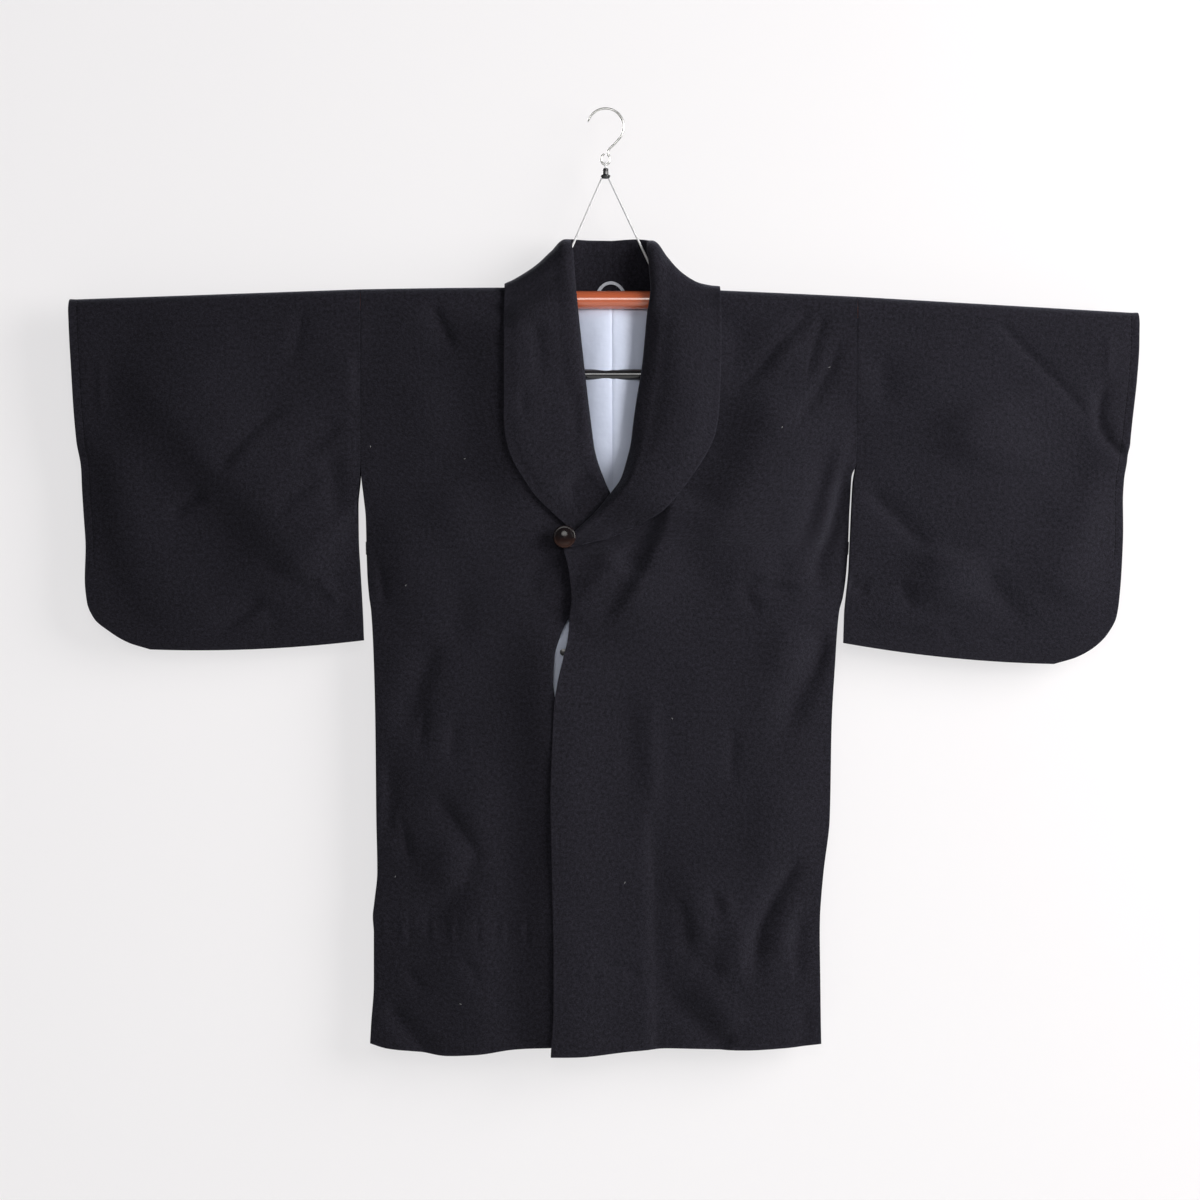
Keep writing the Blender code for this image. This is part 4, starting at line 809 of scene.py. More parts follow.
# ---------------------------------------------------------------- the collar's surface
COLLAR_ROWS = 190
COLLAR_COLUMNS = 72
COLLAR_REACH = (0.25, 0.5, 0.75)
COLLAR_PUFF = (0.35, 0.25, 0.12)
COLLAR_SAG = (0.45, 1.0, 0.75)
STAND_MIDDLE = 0.6
LAPEL_STAND_OUT = 2.0
LAPEL_SETTLED = -470.0
LAPEL_SPRING = 200.0
FALL_STARTS = 0.36           # the share of the way across at which the roll becomes the fall
LIES_BELOW = -232.0          # from here down the fall lies on the front


def panel_normal(turn):
    angle = math.radians(turn or 0.0)
    return np.array([0.0, -math.cos(angle), math.sin(angle)])


def collar_places(side, section):
    """The seam, the roll and the free edge of one collar section."""
    if section.turn is not None:
        seam_x = float(neck_x[side](section.turn))
        seam = np.array([seam_x, 0.0, float(bar_height(seam_x))]) + WRAP_RADIUS * panel_normal(section.turn)
    else:
        seam_x = float(edge_x[side](section.height))
        seam = np.array([seam_x, float(front_surface(side, seam_x, section.height)), section.height])
    roll = np.array([section.roll_x, section.roll_y or 0.0, section.roll_z])
    edge = np.array([section.edge_x, section.edge_y or 0.0, section.edge_z])
    if section.roll_y is None:
        stand_out = LAPEL_STAND_OUT * ease((section.height - LAPEL_SETTLED) / LAPEL_SPRING)
        roll[1] = seam[1] - section.roll_radius - stand_out
    if section.edge_y is None:
        edge[1] = front_surface(side, edge[0], edge[2]) - ON_PANEL
    if section.turn == BACK_TURN:
        for place in (seam, roll, edge):
            place[0] += STEP[side] * 0.5 * CENTRE_SEAM
    return seam, roll, edge


def unit(vector):
    return vector / np.linalg.norm(vector)


def collar_sections(side):
    """Each section's line from the seam up the stand, round the roll and down the fall to the edge."""
    table = LEFT_COLLAR if side == "left" else RIGHT_COLLAR
    places = [collar_places(side, section) for section in table]
    sections = []
    for i, (seam, roll, edge) in enumerate(places):
        along = unit(places[min(len(places) - 1, i + 1)][1] - places[max(0, i - 1)][1])
        across = unit(edge - roll)
        over = unit(np.cross(across, along) if side == "left" else np.cross(along, across))
        across = unit(across - along * across.dot(along))
        radius = table[i].roll_radius
        centre = roll + across * radius
        stand_top, fall_top = centre - over * radius, centre + over * radius
        toward_roll = unit(stand_top - seam)
        wall_share = abs(toward_roll.dot(panel_normal(table[i].turn)))
        start = seam + toward_roll * (SEAM + 0.5 * WOOL_WALL * wall_share)
        fall = [mix(fall_top, edge, reach) + over * (puff * radius - sag * table[i].sag)
                for reach, puff, sag in zip(COLLAR_REACH, COLLAR_PUFF, COLLAR_SAG)]
        sections.append([start, mix(start, stand_top, STAND_MIDDLE), stand_top, roll, fall_top, *fall, edge])
    return np.array(sections)


def collar_points(side):
    """Half the shawl collar, one row for each place along it."""
    sections = collar_sections(side)
    count, places = sections.shape[:2]
    net = smooth_path(sections.reshape(count, places * 3), COLLAR_ROWS).reshape(COLLAR_ROWS, places, 3)
    across = net.transpose(1, 0, 2).reshape(places, COLLAR_ROWS * 3)
    points = smooth_path(across, COLLAR_COLUMNS).reshape(COLLAR_COLUMNS, COLLAR_ROWS, 3).transpose(1, 0, 2)
    reach = np.linspace(0.0, 1.0, COLLAR_COLUMNS)[None, :]
    x, y, z = points[..., 0], points[..., 1], points[..., 2]
    in_front = ease((-6.0 - y) / 8.0) * ease((-205.0 - z) / 30.0)
    on_fall = ease((reach - FALL_STARTS) / 0.12)
    settings = bpy.context.scene.kimono_coat
    relief = crease_relief(COLLAR_CREASES[side], x, z) * settings.fold_strength
    relief = relief + 0.8 * unevenness(x, z, 3.0)
    y = y - relief * in_front * on_fall
    resting = front_surface(side, x, z) - ON_PANEL
    lies = (in_front > 0.99) & (on_fall > 0.5) & (z < LIES_BELOW)
    y = np.where(lies, np.minimum(y, resting), y)
    return np.stack([x, y, z], axis=-1)


# ---------------------------------------------------------------- making the pieces
def grid_piece(name, points, cut, ways=None):
    """A grid primitive laid on a surface's points (rows, columns, xyz) and given its flat cut."""
    rows, columns = points.shape[:2]
    bpy.ops.object.select_all(action="DESELECT")
    bpy.ops.mesh.primitive_grid_add(x_subdivisions=columns - 1, y_subdivisions=rows - 1, size=1.0)
    piece = bpy.context.object
    piece.name = name
    mesh = piece.data
    mesh.name = name
    place = np.empty(len(mesh.vertices) * 3, np.float32)
    mesh.vertices.foreach_get("co", place)
    place = place.reshape(-1, 3)
    column = np.rint((place[:, 0] + 0.5) * (columns - 1)).astype(int)
    row = np.rint((place[:, 1] + 0.5) * (rows - 1)).astype(int)
    mesh.vertices.foreach_set("co", np.ascontiguousarray(points[row, column] * MM, np.float32).ravel())
    corner = np.empty(len(mesh.loops), np.int32)
    mesh.loops.foreach_get("vertex_index", corner)
    layer = mesh.uv_layers[0]
    layer.name = "cut"
    flat = np.ascontiguousarray(cut[row[corner], column[corner]] * MM, np.float32)
    layer.uv.foreach_set("vector", flat.ravel())
    for title, values in (ways or {}).items():
        field = mesh.attributes.new(title, "FLOAT", "POINT")
        field.data.foreach_set("value", np.ascontiguousarray(values[row, column] * MM, np.float32))
    mesh.update()
    return piece, row, column


def select_only(*pieces):
    """Select these pieces and no others, the first one active."""
    bpy.ops.object.select_all(action="DESELECT")
    for piece in pieces:
        piece.select_set(True)
    bpy.context.view_layer.objects.active = pieces[0]


def apply_all(piece):
    select_only(piece)
    for modifier in list(piece.modifiers):
        bpy.ops.object.modifier_apply(modifier=modifier.name)


def smooth_shaded(piece, angle=42.0):
    select_only(piece)
    bpy.ops.object.shade_smooth_by_angle(angle=math.radians(angle))


def finish_piece(piece, finish, nodes=()):
    """Give a piece its finish and hand it to the frame."""
    piece.data.materials.clear()
    piece.data.materials.append(finish)
    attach(piece, "root")
    if nodes:
        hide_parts(*nodes)
    return piece


def running_length(points):
    """How far each row is from the first one, along the middle column."""
    middle = points[:, points.shape[1] // 2]
    return np.concatenate([[0.0], np.cumsum(np.linalg.norm(np.diff(middle, axis=0), axis=1))])


def across_length(points):
    """How far each point is from its row's first one."""
    steps = np.linalg.norm(np.diff(points, axis=1), axis=2)
    return np.concatenate([np.zeros((len(points), 1)), np.cumsum(steps, axis=1)], axis=1)


def cloth_piece(name, points, wall, ways, thick=None, thick_wall=None, bevel=0.8):
    """A sheet of cloth: its surface, then its wall, thicker at turned edges, then rounded edges."""
    across = across_length(points)
    cut = np.stack([across, np.repeat(running_length(points)[:, None], points.shape[1], axis=1)], axis=-1)
    piece, row, column = grid_piece(name, points, cut, ways)
    shell = piece.modifiers.new("wall", "SOLIDIFY")
    shell.thickness = wall * MM
    shell.offset = 0.0
    if thick is not None:
        group = piece.vertex_groups.new(name="turned_edge")
        weights = thick[row, column]
        for index in np.nonzero(weights > 0.004)[0]:
            group.add([int(index)], float(weights[index]), "REPLACE")
        shell.thickness = thick_wall * MM
        shell.vertex_group = group.name
        shell.thickness_vertex_group = wall / thick_wall
    edges = piece.modifiers.new("edges", "BEVEL")
    edges.width = bevel * MM
    edges.segments = 2
    edges.limit_method = "ANGLE"
    edges.angle_limit = math.radians(56.0)
    apply_all(piece)
    piece.vertex_groups.clear()
    smooth_shaded(piece)
    return piece


def tube_piece(name, route, radii, across, sides):
    """A round bar, wire or cord along a route that lies in the plane across is square to."""
    route = np.array(route, float)
    radii = np.broadcast_to(np.array(radii, float), len(route))
    along = np.gradient(route, axis=0)
    along /= np.linalg.norm(along, axis=1)[:, None]
    first = np.array(across, float)
    second = np.cross(along, first)
    turns = np.linspace(0.0, 2.0 * math.pi, sides + 1)
    rings = (first * np.cos(turns)[None, :, None] + second[:, None, :] * np.sin(turns)[None, :, None])
    points = route[:, None, :] + rings * radii[:, None, None]
    length = np.concatenate([[0.0], np.cumsum(np.linalg.norm(np.diff(route, axis=0), axis=1))])
    girth = turns * radii.max()
    cut = np.stack(np.broadcast_arrays(girth[None, :], length[:, None]), axis=-1)
    piece, _, _ = grid_piece(name, points, cut)
    close_up(piece)
    return piece


def turned_piece(name, profile, centre, axis, sides, smoothing=35.0):
    """A turned piece: a profile of (radius, height) pairs, spun round an axis through its centre."""
    axis = np.array(axis, float)
    first = np.array([1.0, 0.0, 0.0])
    second = np.cross(axis, first)
    turns = np.linspace(0.0, 2.0 * math.pi, sides + 1)
    rings = first * np.cos(turns)[:, None] + second * np.sin(turns)[:, None]
    profile = np.array(profile, float)
    points = np.array(centre) + rings[None] * profile[:, :1, None] + axis * profile[:, 1][:, None, None]
    along = np.concatenate([[0.0], np.cumsum(np.linalg.norm(np.diff(profile, axis=0), axis=1))])
    girth = turns * profile[:, 0].max()
    cut = np.stack(np.broadcast_arrays(girth[None, :], along[:, None]), axis=-1)
    piece, _, _ = grid_piece(name, points, cut)
    close_up(piece)
    smooth_shaded(piece, smoothing)
    return piece


def close_up(piece):
    """Merge the meeting edges and the poles of a wrapped grid and turn its faces outwards."""
    work = bmesh.new()
    work.from_mesh(piece.data)
    bmesh.ops.remove_doubles(work, verts=work.verts, dist=0.004 * MM)
    ends = [edge for edge in work.edges if edge.is_boundary]
    if ends:
        bmesh.ops.holes_fill(work, edges=ends, sides=0)
    bmesh.ops.recalc_face_normals(work, faces=work.faces)
    work.to_mesh(piece.data)
    work.free()
    smooth_shaded(piece)


def joined(name, pieces):
    """Several meshes made into one piece."""
    select_only(*pieces)
    bpy.ops.object.join()
    whole = bpy.context.object
    whole.name = name
    whole.data.name = name
    return whole


# ---------------------------------------------------------------- finishes
def sum_of(operation, swapped=False):
    """A method that adds the Math node of one arithmetic sign."""
    def combine(wire, other):
        return wire.math(operation, other, wire) if swapped else wire.math(operation, wire, other)
    return combine


class Wire:
    """An output of one of a finish's nodes; sums on it add Math nodes."""

    def __init__(self, finish, socket):
        self.finish = finish
        self.socket = socket

    def math(self, operation, *values):
        return self.finish.node("ShaderNodeMath", {"operation": operation}, dict(enumerate(values)))

    __add__ = sum_of("ADD")
    __radd__ = sum_of("ADD", swapped=True)
    __sub__ = sum_of("SUBTRACT")
    __rsub__ = sum_of("SUBTRACT", swapped=True)
    __mul__ = sum_of("MULTIPLY")
    __rmul__ = sum_of("MULTIPLY", swapped=True)
    __truediv__ = sum_of("DIVIDE")

    def clamped(self):
        return self.math("MINIMUM", self.math("MAXIMUM", self, 0.0), 1.0)

    def wave(self):
        return self.math("SINE", self)

    def bell(self, centre, width):
        """1 at a value, dying away on both sides of it."""
        off = (self - centre) / width
        return self.math("POWER", math.e, off * off * -1.0)


class Finish:
    """A material in the making: its nodes, and the shader that they feed."""

    def __init__(self, name, constants):
        self.material = bpy.data.materials.new(name)
        self.material.use_nodes = True
        self.tree = self.material.node_tree
        self.shader = self.tree.nodes["Principled BSDF"]
        for socket, value in constants.items():
            self.shader.inputs[socket].default_value = value

    def node(self, kind, settings=None, values=None, output=0):
        """Any node, by its type, its settings, and the values or links of its sockets."""
        made = self.tree.nodes.new(kind)
        for setting, value in (settings or {}).items():
            setattr(made, setting, value)
        for socket, value in (values or {}).items():
            self.feed(made.inputs[socket], value)
        return Wire(self, made.outputs[output])

    def feed(self, socket, value):
        if isinstance(value, Wire):
            self.tree.links.new(value.socket, socket)
        else:
            socket.default_value = value

    def cut(self):
        return self.node("ShaderNodeUVMap", {"uv_map": "cut"})

    def places(self):
        return self.node("ShaderNodeTexCoord", output="Object")

    def parts(self, vector):
        split = self.node("ShaderNodeSeparateXYZ", None, {"Vector": vector})
        return [Wire(self, socket) for socket in split.socket.node.outputs]

    def scaled(self, vector, scale):
        return self.node("ShaderNodeVectorMath", {"operation": "MULTIPLY"}, {0: vector, 1: scale})

    def noise(self, vector, scale, detail=3.0, roughness=0.55):
        """Noise about 0, from -0.5 to 0.5."""
        values = {"Vector": vector, "Scale": scale, "Detail": detail, "Roughness": roughness}
        return self.node("ShaderNodeTexNoise", {"noise_dimensions": "3D"}, values, "Fac") - 0.5

    def way(self, title):
        return self.node("ShaderNodeAttribute", {"attribute_name": title}, output="Fac")

    def mixed(self, share, first, second):
        values = {0: share, 6: first, 7: second}
        return self.node("ShaderNodeMix", {"data_type": "RGBA"}, values, 2)

    def bump(self, height, distance, strength=1.0):
        values = {"Height": height, "Distance": distance, "Strength": strength}
        self.feed(self.shader.inputs["Normal"], self.node("ShaderNodeBump", None, values))

    def set(self, socket, value):
        self.feed(self.shader.inputs[socket], value)


def once(title, maker, *values):
    """The finish of a name, made when a piece first asks for it."""
    return bpy.data.materials.get(title) or maker(*values)


def tint(colour, share):
    return (*(min(1.0, part * share) for part in colour), 1.0)


def wool_finish(colour):
    """Black napped wool: short matted fibres over a fine weave, with a few paler hairs and pills, and a
    painted highlight: a lighter band along its free edges.
    """
    made = Finish("wool_cloth", {"Roughness": 0.9, "Specular IOR Level": 0.1, "Sheen Weight": 0.22,
                                 "Sheen Roughness": 0.42, "Sheen Tint": (0.66, 0.68, 0.84, 1.0)})
    cut = made.cut()
    along = made.parts(cut)
    felt = made.noise(cut, 1050.0, 4.0, 0.7)
    hairs = made.noise(made.scaled(cut, (1500.0, 420.0, 1.0)), 1.0, 3.0, 0.6)
    cross_hairs = made.noise(made.scaled(cut, (380.0, 1300.0, 1.0)), 1.0, 2.0, 0.5)
    mottle = made.noise(cut, 250.0, 4.0, 0.7)
    cloud = made.noise(cut, 9.0, 2.0, 0.5)
    weave = (along[0] * (2.0 * math.pi / 0.0012)).wave() * (along[1] * (2.0 * math.pi / 0.0012)).wave()
    pills = made.node("ShaderNodeTexVoronoi", {"feature": "F1"}, {"Vector": cut, "Scale": 95.0}, "Distance")
    pill = pills.bell(0.0, 0.09)
    # Painted highlight: the tone is lifted within about 2 mm of a free edge, standing in for light on the
    # rounded edge.
    edge = made.way("painted_highlight_edge_way").bell(0.0, 0.0022)
    stitch_way = made.way("stitch_way")
    dashes = 0.6 + 0.4 * (along[1] * (2.0 * math.pi / 0.0042)).wave()
    stitch = stitch_way.bell(0.010, 0.0007) * dashes
    tone = 0.42 + felt * 1.6 + hairs * 1.5 + mottle * 2.2 + cloud * 0.22 + cross_hairs * 1.2
    tone = tone + pill * 0.22 + edge * 0.22 - stitch * 0.5
    made.set("Base Color", made.mixed(tone.clamped(), tint(colour, 0.42), tint(colour, 1.75)))
    height = felt * 0.8 + hairs * 1.0 + cross_hairs * 0.8 + weave * 0.1 + mottle * 1.6 + pill * 0.35
    height = height - stitch * 1.6 - stitch_way.bell(0.010, 0.003) * 0.8
    made.bump(height, 0.00042, 0.9)
    return made.material


def lining_finish(colour):
    """Smooth lining cloth: a faint sheen, fine ribs and small soft creases."""
    made = Finish("lining_cloth", {"Roughness": 0.42, "Specular IOR Level": 0.4, "Sheen Weight": 0.25,
                                   "Sheen Roughness": 0.3})
    cut = made.cut()
    along = made.parts(cut)
    ribs = (along[1] * (2.0 * math.pi / 0.0008)).wave() * 0.5
    threads = made.noise(made.scaled(cut, (240.0, 2600.0, 1.0)), 1.0, 2.0)
    cloud = made.noise(cut, 26.0, 3.0)
    soft = made.noise(cut, 60.0, 2.0)
    tone = (0.5 + cloud * 0.7 + threads * 0.35 + ribs * 0.04).clamped()
    made.set("Base Color", made.mixed(tone, tint(colour, 0.90), tint(colour, 1.07)))
    made.set("Roughness", 0.42 + cloud * 0.14)
    made.bump(ribs * 0.1 + threads * 0.12 + soft * 2.4 + cloud * 2.0, 0.0006, 0.6)
    return made.material


def tape_finish(colour):
    """Woven tape with ribs across it and a firm edge."""
    made = Finish("loop_tape", {"Roughness": 0.7, "Sheen Weight": 0.1})
    along = made.parts(made.cut())
    ribs = (along[1] * (2.0 * math.pi / 0.0009)).wave()
    worn = made.noise(made.cut(), 500.0, 3.0)
    made.set("Base Color", made.mixed((0.5 + ribs * 0.25 + worn * 0.5).clamped(), tint(colour, 0.72),
                                      tint(colour, 1.08)))
    made.bump(ribs * 0.5 + worn * 0.4, 0.0002, 0.8)
    return made.material


def thread_finish():
    made = Finish("sewing_thread", {"Roughness": 0.7, "Sheen Weight": 0.2})
    cut = made.cut()
    along = made.parts(cut)
    twist = ((along[0] + along[1]) * (2.0 * math.pi / 0.0009)).wave()
    made.set("Base Color", made.mixed((0.5 + twist * 0.5).clamped(), (0.006, 0.006, 0.007, 1.0),
                                      (0.03, 0.03, 0.032, 1.0)))
    made.bump(twist, 0.0002, 0.8)
    return made.material


def button_finish(colour):
    """Polished dark horn-like plastic with cloudy brown bands, painted browner towards its lower side as a
    painted reflection.
    """
    made = Finish("button_gloss", {"Roughness": 0.12, "Specular IOR Level": 0.26})
    places = made.places()
    height = made.parts(places)[2]
    # low: the lower side mixed towards brown, a painted reflection on the dome's lower face; cloud and bands
    # are the horn's own tone.
    low = ((-0.5125 - height) / 0.012).clamped()
    cloud = made.noise(places, 190.0, 4.0, 0.6)
    bands = made.noise(made.scaled(places, (90.0, 90.0, 420.0)), 1.0, 3.0)
    share = (low * 0.75 + cloud * 0.5 + bands * 0.35).clamped()
    made.set("Base Color", made.mixed(share, tint(colour, 0.6), (0.036, 0.013, 0.008, 1.0)))
    scuffs = made.noise(places, 900.0, 5.0, 0.7)
    made.set("Roughness", (0.13 + scuffs * 0.10 + cloud * 0.05).clamped())
    made.bump(cloud * 0.4 + scuffs * 0.08, 0.00015, 0.4)
    return made.material


def moulded_finish(name, colour, roughness, coat):
    """Moulded plastic with a faint orange-peel surface and fine handling marks."""
    made = Finish(name, {"Roughness": roughness, "Coat Weight": coat, "Coat Roughness": 0.18,
                         "Coat IOR": 1.7})
    places = made.places()
    peel = made.noise(places, 700.0, 2.0)
    marks = made.noise(made.scaled(places, (60.0, 900.0, 900.0)), 1.0, 4.0, 0.65)
    cloud = made.noise(places, 16.0, 3.0)
    made.set("Base Color", made.mixed((0.5 + cloud * 0.6 + marks * 0.3).clamped(), tint(colour, 0.86),
                                      tint(colour, 1.12)))
    made.set("Roughness", (roughness + marks * 0.12 + cloud * 0.06).clamped())
    made.bump(peel * 0.3 + marks * 0.2, 0.0001, 0.35)
    return made.material


def cord_finish(name, colour):
    """Braided white cord: strands that cross, with a few loose fibres."""
    made = Finish(name, {"Roughness": 0.8, "Sheen Weight": 0.2})
    cut = made.cut()
    along = made.parts(cut)
    one = ((along[0] * 1.4 + along[1]) * (2.0 * math.pi / 0.0021)).wave()
    other = ((along[0] * 1.4 - along[1]) * (2.0 * math.pi / 0.0021)).wave()
    braid = one.math("MAXIMUM", one, other)
    fibres = made.noise(cut, 2400.0, 3.0)
    made.set("Base Color", made.mixed((0.6 + braid * 0.3 + fibres * 0.4).clamped(), tint(colour, 0.76),
                                      tint(colour, 1.08)))
    made.bump(braid + fibres * 0.5, 0.0003, 0.9)
    return made.material


def steel_finish():
    """Bright wire, drawn lengthwise and a little worn where it bears."""
    made = Finish("hook_steel", {"Metallic": 1.0, "Roughness": 0.24})
    cut = made.cut()
    drawn = made.noise(made.scaled(cut, (2600.0, 60.0, 1.0)), 1.0, 3.0)
    worn = made.noise(made.places(), 120.0, 3.0)
    made.set("Base Color", made.mixed((0.5 + worn + drawn * 0.4).clamped(), (0.46, 0.46, 0.45, 1.0),
                                      (0.74, 0.74, 0.72, 1.0)))
    made.set("Roughness", (0.25 + drawn * 0.12 + worn * 0.14).clamped())
    made.bump(drawn, 0.00005, 0.5)
    return made.material


def black_plastic():
    return once("black_moulding", moulded_finish, "black_moulding", (0.014, 0.014, 0.016), 0.18, 0.5)


def white_braid():
    return once("cord_braid", cord_finish, "cord_braid", (0.82, 0.82, 0.84))


# ---------------------------------------------------------------- what a user may change
class KimonoCoatSettings(bpy.types.PropertyGroup):
    """Sizes, colours and light of the coat and its studio."""

    wool_colour: FloatVectorProperty(
        name="Wool", description="Middle colour of the napped wool", subtype="COLOR", size=3,
        min=0.0, max=1.0, default=(0.0118, 0.0110, 0.0158))
    lining_colour: FloatVectorProperty(
        name="Lining", description="Colour of the back lining", subtype="COLOR", size=3,
        min=0.0, max=1.0, default=(0.65, 0.705, 0.87))
    tape_colour: FloatVectorProperty(
        name="Loop tape", description="Colour of the hanging loop", subtype="COLOR", size=3,
        min=0.0, max=1.0, default=(0.46, 0.48, 0.54))
    button_colour: FloatVectorProperty(
        name="Button", description="Upper colour of the front button", subtype="COLOR", size=3,
        min=0.0, max=1.0, default=(0.012, 0.009, 0.010))
    bar_colour: FloatVectorProperty(
        name="Hanger bar", description="Colour of the long bar", subtype="COLOR", size=3,
        min=0.0, max=1.0, default=(0.50, 0.105, 0.038))
    fold_strength: FloatProperty(
        name="Fold strength", description="How far the folds stand out, as a share of their own heights",
        subtype="FACTOR", min=0.0, max=1.6, default=1.0)
    turned_edge: FloatProperty(
        name="Turned edge", description="Thickness of the wool where an edge is turned in, in millimetres",
        min=2.0, max=4.0, default=3.0)
    key_power: FloatProperty(
        name="Key light", description="Power of the large light to the right of the coat", subtype="POWER",
        unit="POWER", min=0.0, default=122.0)
    surround: FloatProperty(
        name="Surround", description="Brightness of the pale room round the coat", subtype="FACTOR",
        min=0.0, max=2.0, default=0.085)
    camera_distance: FloatProperty(
        name="Camera distance", description="From the camera to the coat", subtype="DISTANCE",
        unit="LENGTH", min=1.0, max=8.0, default=3.6)


# ---------------------------------------------------------------- the pieces
class KIMONO_OT_stage(bpy.types.Operator):
    """Set up the camera, the pale wall and floor, and the soft light"""

    bl_idname = "kimono.stage"
    bl_label = "Studio"

    def execute(self, context):
        settings = context.scene.kimono_coat
        centre = Vector((-0.0066, 0.0, -0.5886))
        frame_width, sensor = 1.44, 36.0
        camera_data = bpy.data.cameras.new("camera")
        camera_data.sensor_width = sensor
        camera_data.lens = sensor * settings.camera_distance / frame_width
        camera = bpy.data.objects.new("camera", camera_data)
        camera.location = centre - Vector((0.0, settings.camera_distance, 0.0))
        camera.rotation_euler = (math.radians(90.0), 0.0, 0.0)
        context.collection.objects.link(camera)
        context.scene.camera = camera
        self.surround(context.scene, settings)
        self.light(context, "key", Vector((2.35, -1.5, 0.15)), centre, 2.2, settings.key_power)
        self.light(context, "fill", Vector((-0.1, -3.7, 0.35)), centre, 1.3, 0.22 * settings.key_power)
        self.light(context, "back_light", Vector((-1.6, 2.6, 0.6)), centre, 2.2, 0.6 * settings.key_power)
        self.wall()
        self.floor()
        context.scene.view_settings.view_transform = "Standard"
        return {"FINISHED"}

    def surround(self, scene, settings):
        world = bpy.data.worlds.new("pale_room")
        world.use_nodes = True
        room = world.node_tree.nodes["Background"]
        room.inputs["Color"].default_value = (0.97, 0.98, 1.0, 1.0)
        room.inputs["Strength"].default_value = settings.surround
        scene.world = world

    def light(self, context, name, place, target, size, power):
        lamp = bpy.data.lights.new(name, "AREA")
        lamp.shape = "DISK"
        lamp.size = size
        lamp.energy = power
        lamp.color = (1.0, 0.99, 0.97)
        holder = bpy.data.objects.new(name, lamp)
        holder.location = place
        holder.rotation_euler = (target - place).to_track_quat("-Z", "Y").to_euler()
        context.collection.objects.link(holder)

    def wall(self):
        """A pale wall close behind the coat; it shows only from the front."""
        bpy.ops.object.select_all(action="DESELECT")
        bpy.ops.mesh.primitive_plane_add(size=5.0, location=(0.0, 0.042, -0.4),
                                         rotation=(math.radians(90.0), 0.0, 0.0))
        wall = bpy.context.object
        wall.name = "studio_wall"
        paint = Finish("wall_paint", {"Roughness": 0.9, "Base Color": (0.24, 0.23, 0.235, 1.0),
                                      "Emission Color": (1.0, 0.99, 1.0, 1.0), "Emission Strength": 0.66})
        nodes, links = paint.tree.nodes, paint.tree.links
        clear = nodes.new("ShaderNodeBsdfTransparent")
        behind = nodes.new("ShaderNodeNewGeometry")
        choice = nodes.new("ShaderNodeMixShader")
        links.new(behind.outputs["Backfacing"], choice.inputs[0])
        links.new(paint.shader.outputs[0], choice.inputs[1])
        links.new(clear.outputs[0], choice.inputs[2])
        links.new(choice.outputs[0], nodes["Material Output"].inputs["Surface"])
        wall.data.materials.append(paint.material)
        wall.visible_shadow = False
        wall.visible_diffuse = False
        wall.visible_glossy = False
        wall.visible_transmission = False

    def floor(self):
        bpy.ops.object.select_all(action="DESELECT")
        bpy.ops.mesh.primitive_plane_add(size=9.0, location=(0.0, 0.0, -1.9))
        floor = bpy.context.object
        floor.name = "studio_floor"
        paint = Finish("floor_paint", {"Roughness": 0.8})
        speckle = paint.noise(paint.places(), 40.0, 3.0)
        paint.set("Base Color", paint.mixed((0.5 + speckle).clamped(), (0.72, 0.72, 0.71, 1.0),
                                            (0.78, 0.78, 0.77, 1.0)))
        floor.data.materials.append(paint.material)


class KIMONO_OT_body(bpy.types.Operator):
    """Make the two body panels, each front and back in one length over the shoulder"""

    bl_idname = "kimono.body"
    bl_label = "Body panels"

    def execute(self, context):
        settings = context.scene.kimono_coat
        wool = once("wool_cloth", wool_finish, settings.wool_colour)
        for side in ("left", "right"):
            points = body_points(side)
            x, z = points[..., 0], points[..., 2]
            rows = np.arange(len(points))[:, None]
            in_front = rows < FRONT_ROWS
            hem = np.where(in_front, front_hem[side](x), BACK_HEM)
            to_hem = np.abs(z - hem)
            free = in_front & (z < EDGE_FREE_BELOW[side])
            to_front_edge = np.where(free, np.abs(x - edge_x[side](z)), OPEN_STITCH)
            to_side = np.abs(side_x[side](z) - x)
            to_vent = np.where((z < VENT[0]) & (z > VENT[1]), to_side, OPEN_STITCH)
            # Distance from the free edges and the vent, which sets where the wool's painted edge highlight
            # lies.
            painted_highlight_edge_way = np.minimum(np.minimum(to_hem, to_front_edge), to_vent)
            thick = 1.0 - ease((np.minimum(to_hem, to_front_edge) - 1.0) / TURNED_IN)
            thick = thick * ease(to_side / 8.0)
            ways = {"painted_highlight_edge_way": painted_highlight_edge_way, "stitch_way": np.full(x.shape, OPEN_STITCH)}
            piece = cloth_piece("coat_body_" + side, points, WOOL_WALL, ways, thick, settings.turned_edge)
            finish_piece(piece, wool, [part + side for part in ("front_", "shoulder_", "back_")])
        return {"FINISHED"}


class KIMONO_OT_sleeves(bpy.types.Operator):
    """Make the two wide sleeves with their rounded outer corners"""

    bl_idname = "kimono.sleeves"
    bl_label = "Sleeves"

    def execute(self, context):
        settings = context.scene.kimono_coat
        wool = once("wool_cloth", wool_finish, settings.wool_colour)
        for side in ("left", "right"):
            points = sleeve_points(side)
            x, z = points[..., 0], points[..., 2]
            cuff = points[:, -1:, 0]
            to_cuff = np.abs(cuff - x)
            above_corner = ease((z - CUFF_STITCHED_TO) / 40.0)
            stitch_way = mix(OPEN_STITCH, to_cuff, above_corner > 0.5)
            open_cuff = ease((z - CUFF_OPEN_TO) / 12.0)
            thick = (1.0 - ease((to_cuff - 1.0) / TURNED_IN)) * open_cuff
            ways = {"painted_highlight_edge_way": to_cuff, "stitch_way": stitch_way}
            piece = cloth_piece("coat_sleeve_" + side, points, WOOL_WALL, ways, thick, settings.turned_edge)
            finish_piece(piece, wool, ["sleeve_" + side])
        return {"FINISHED"}


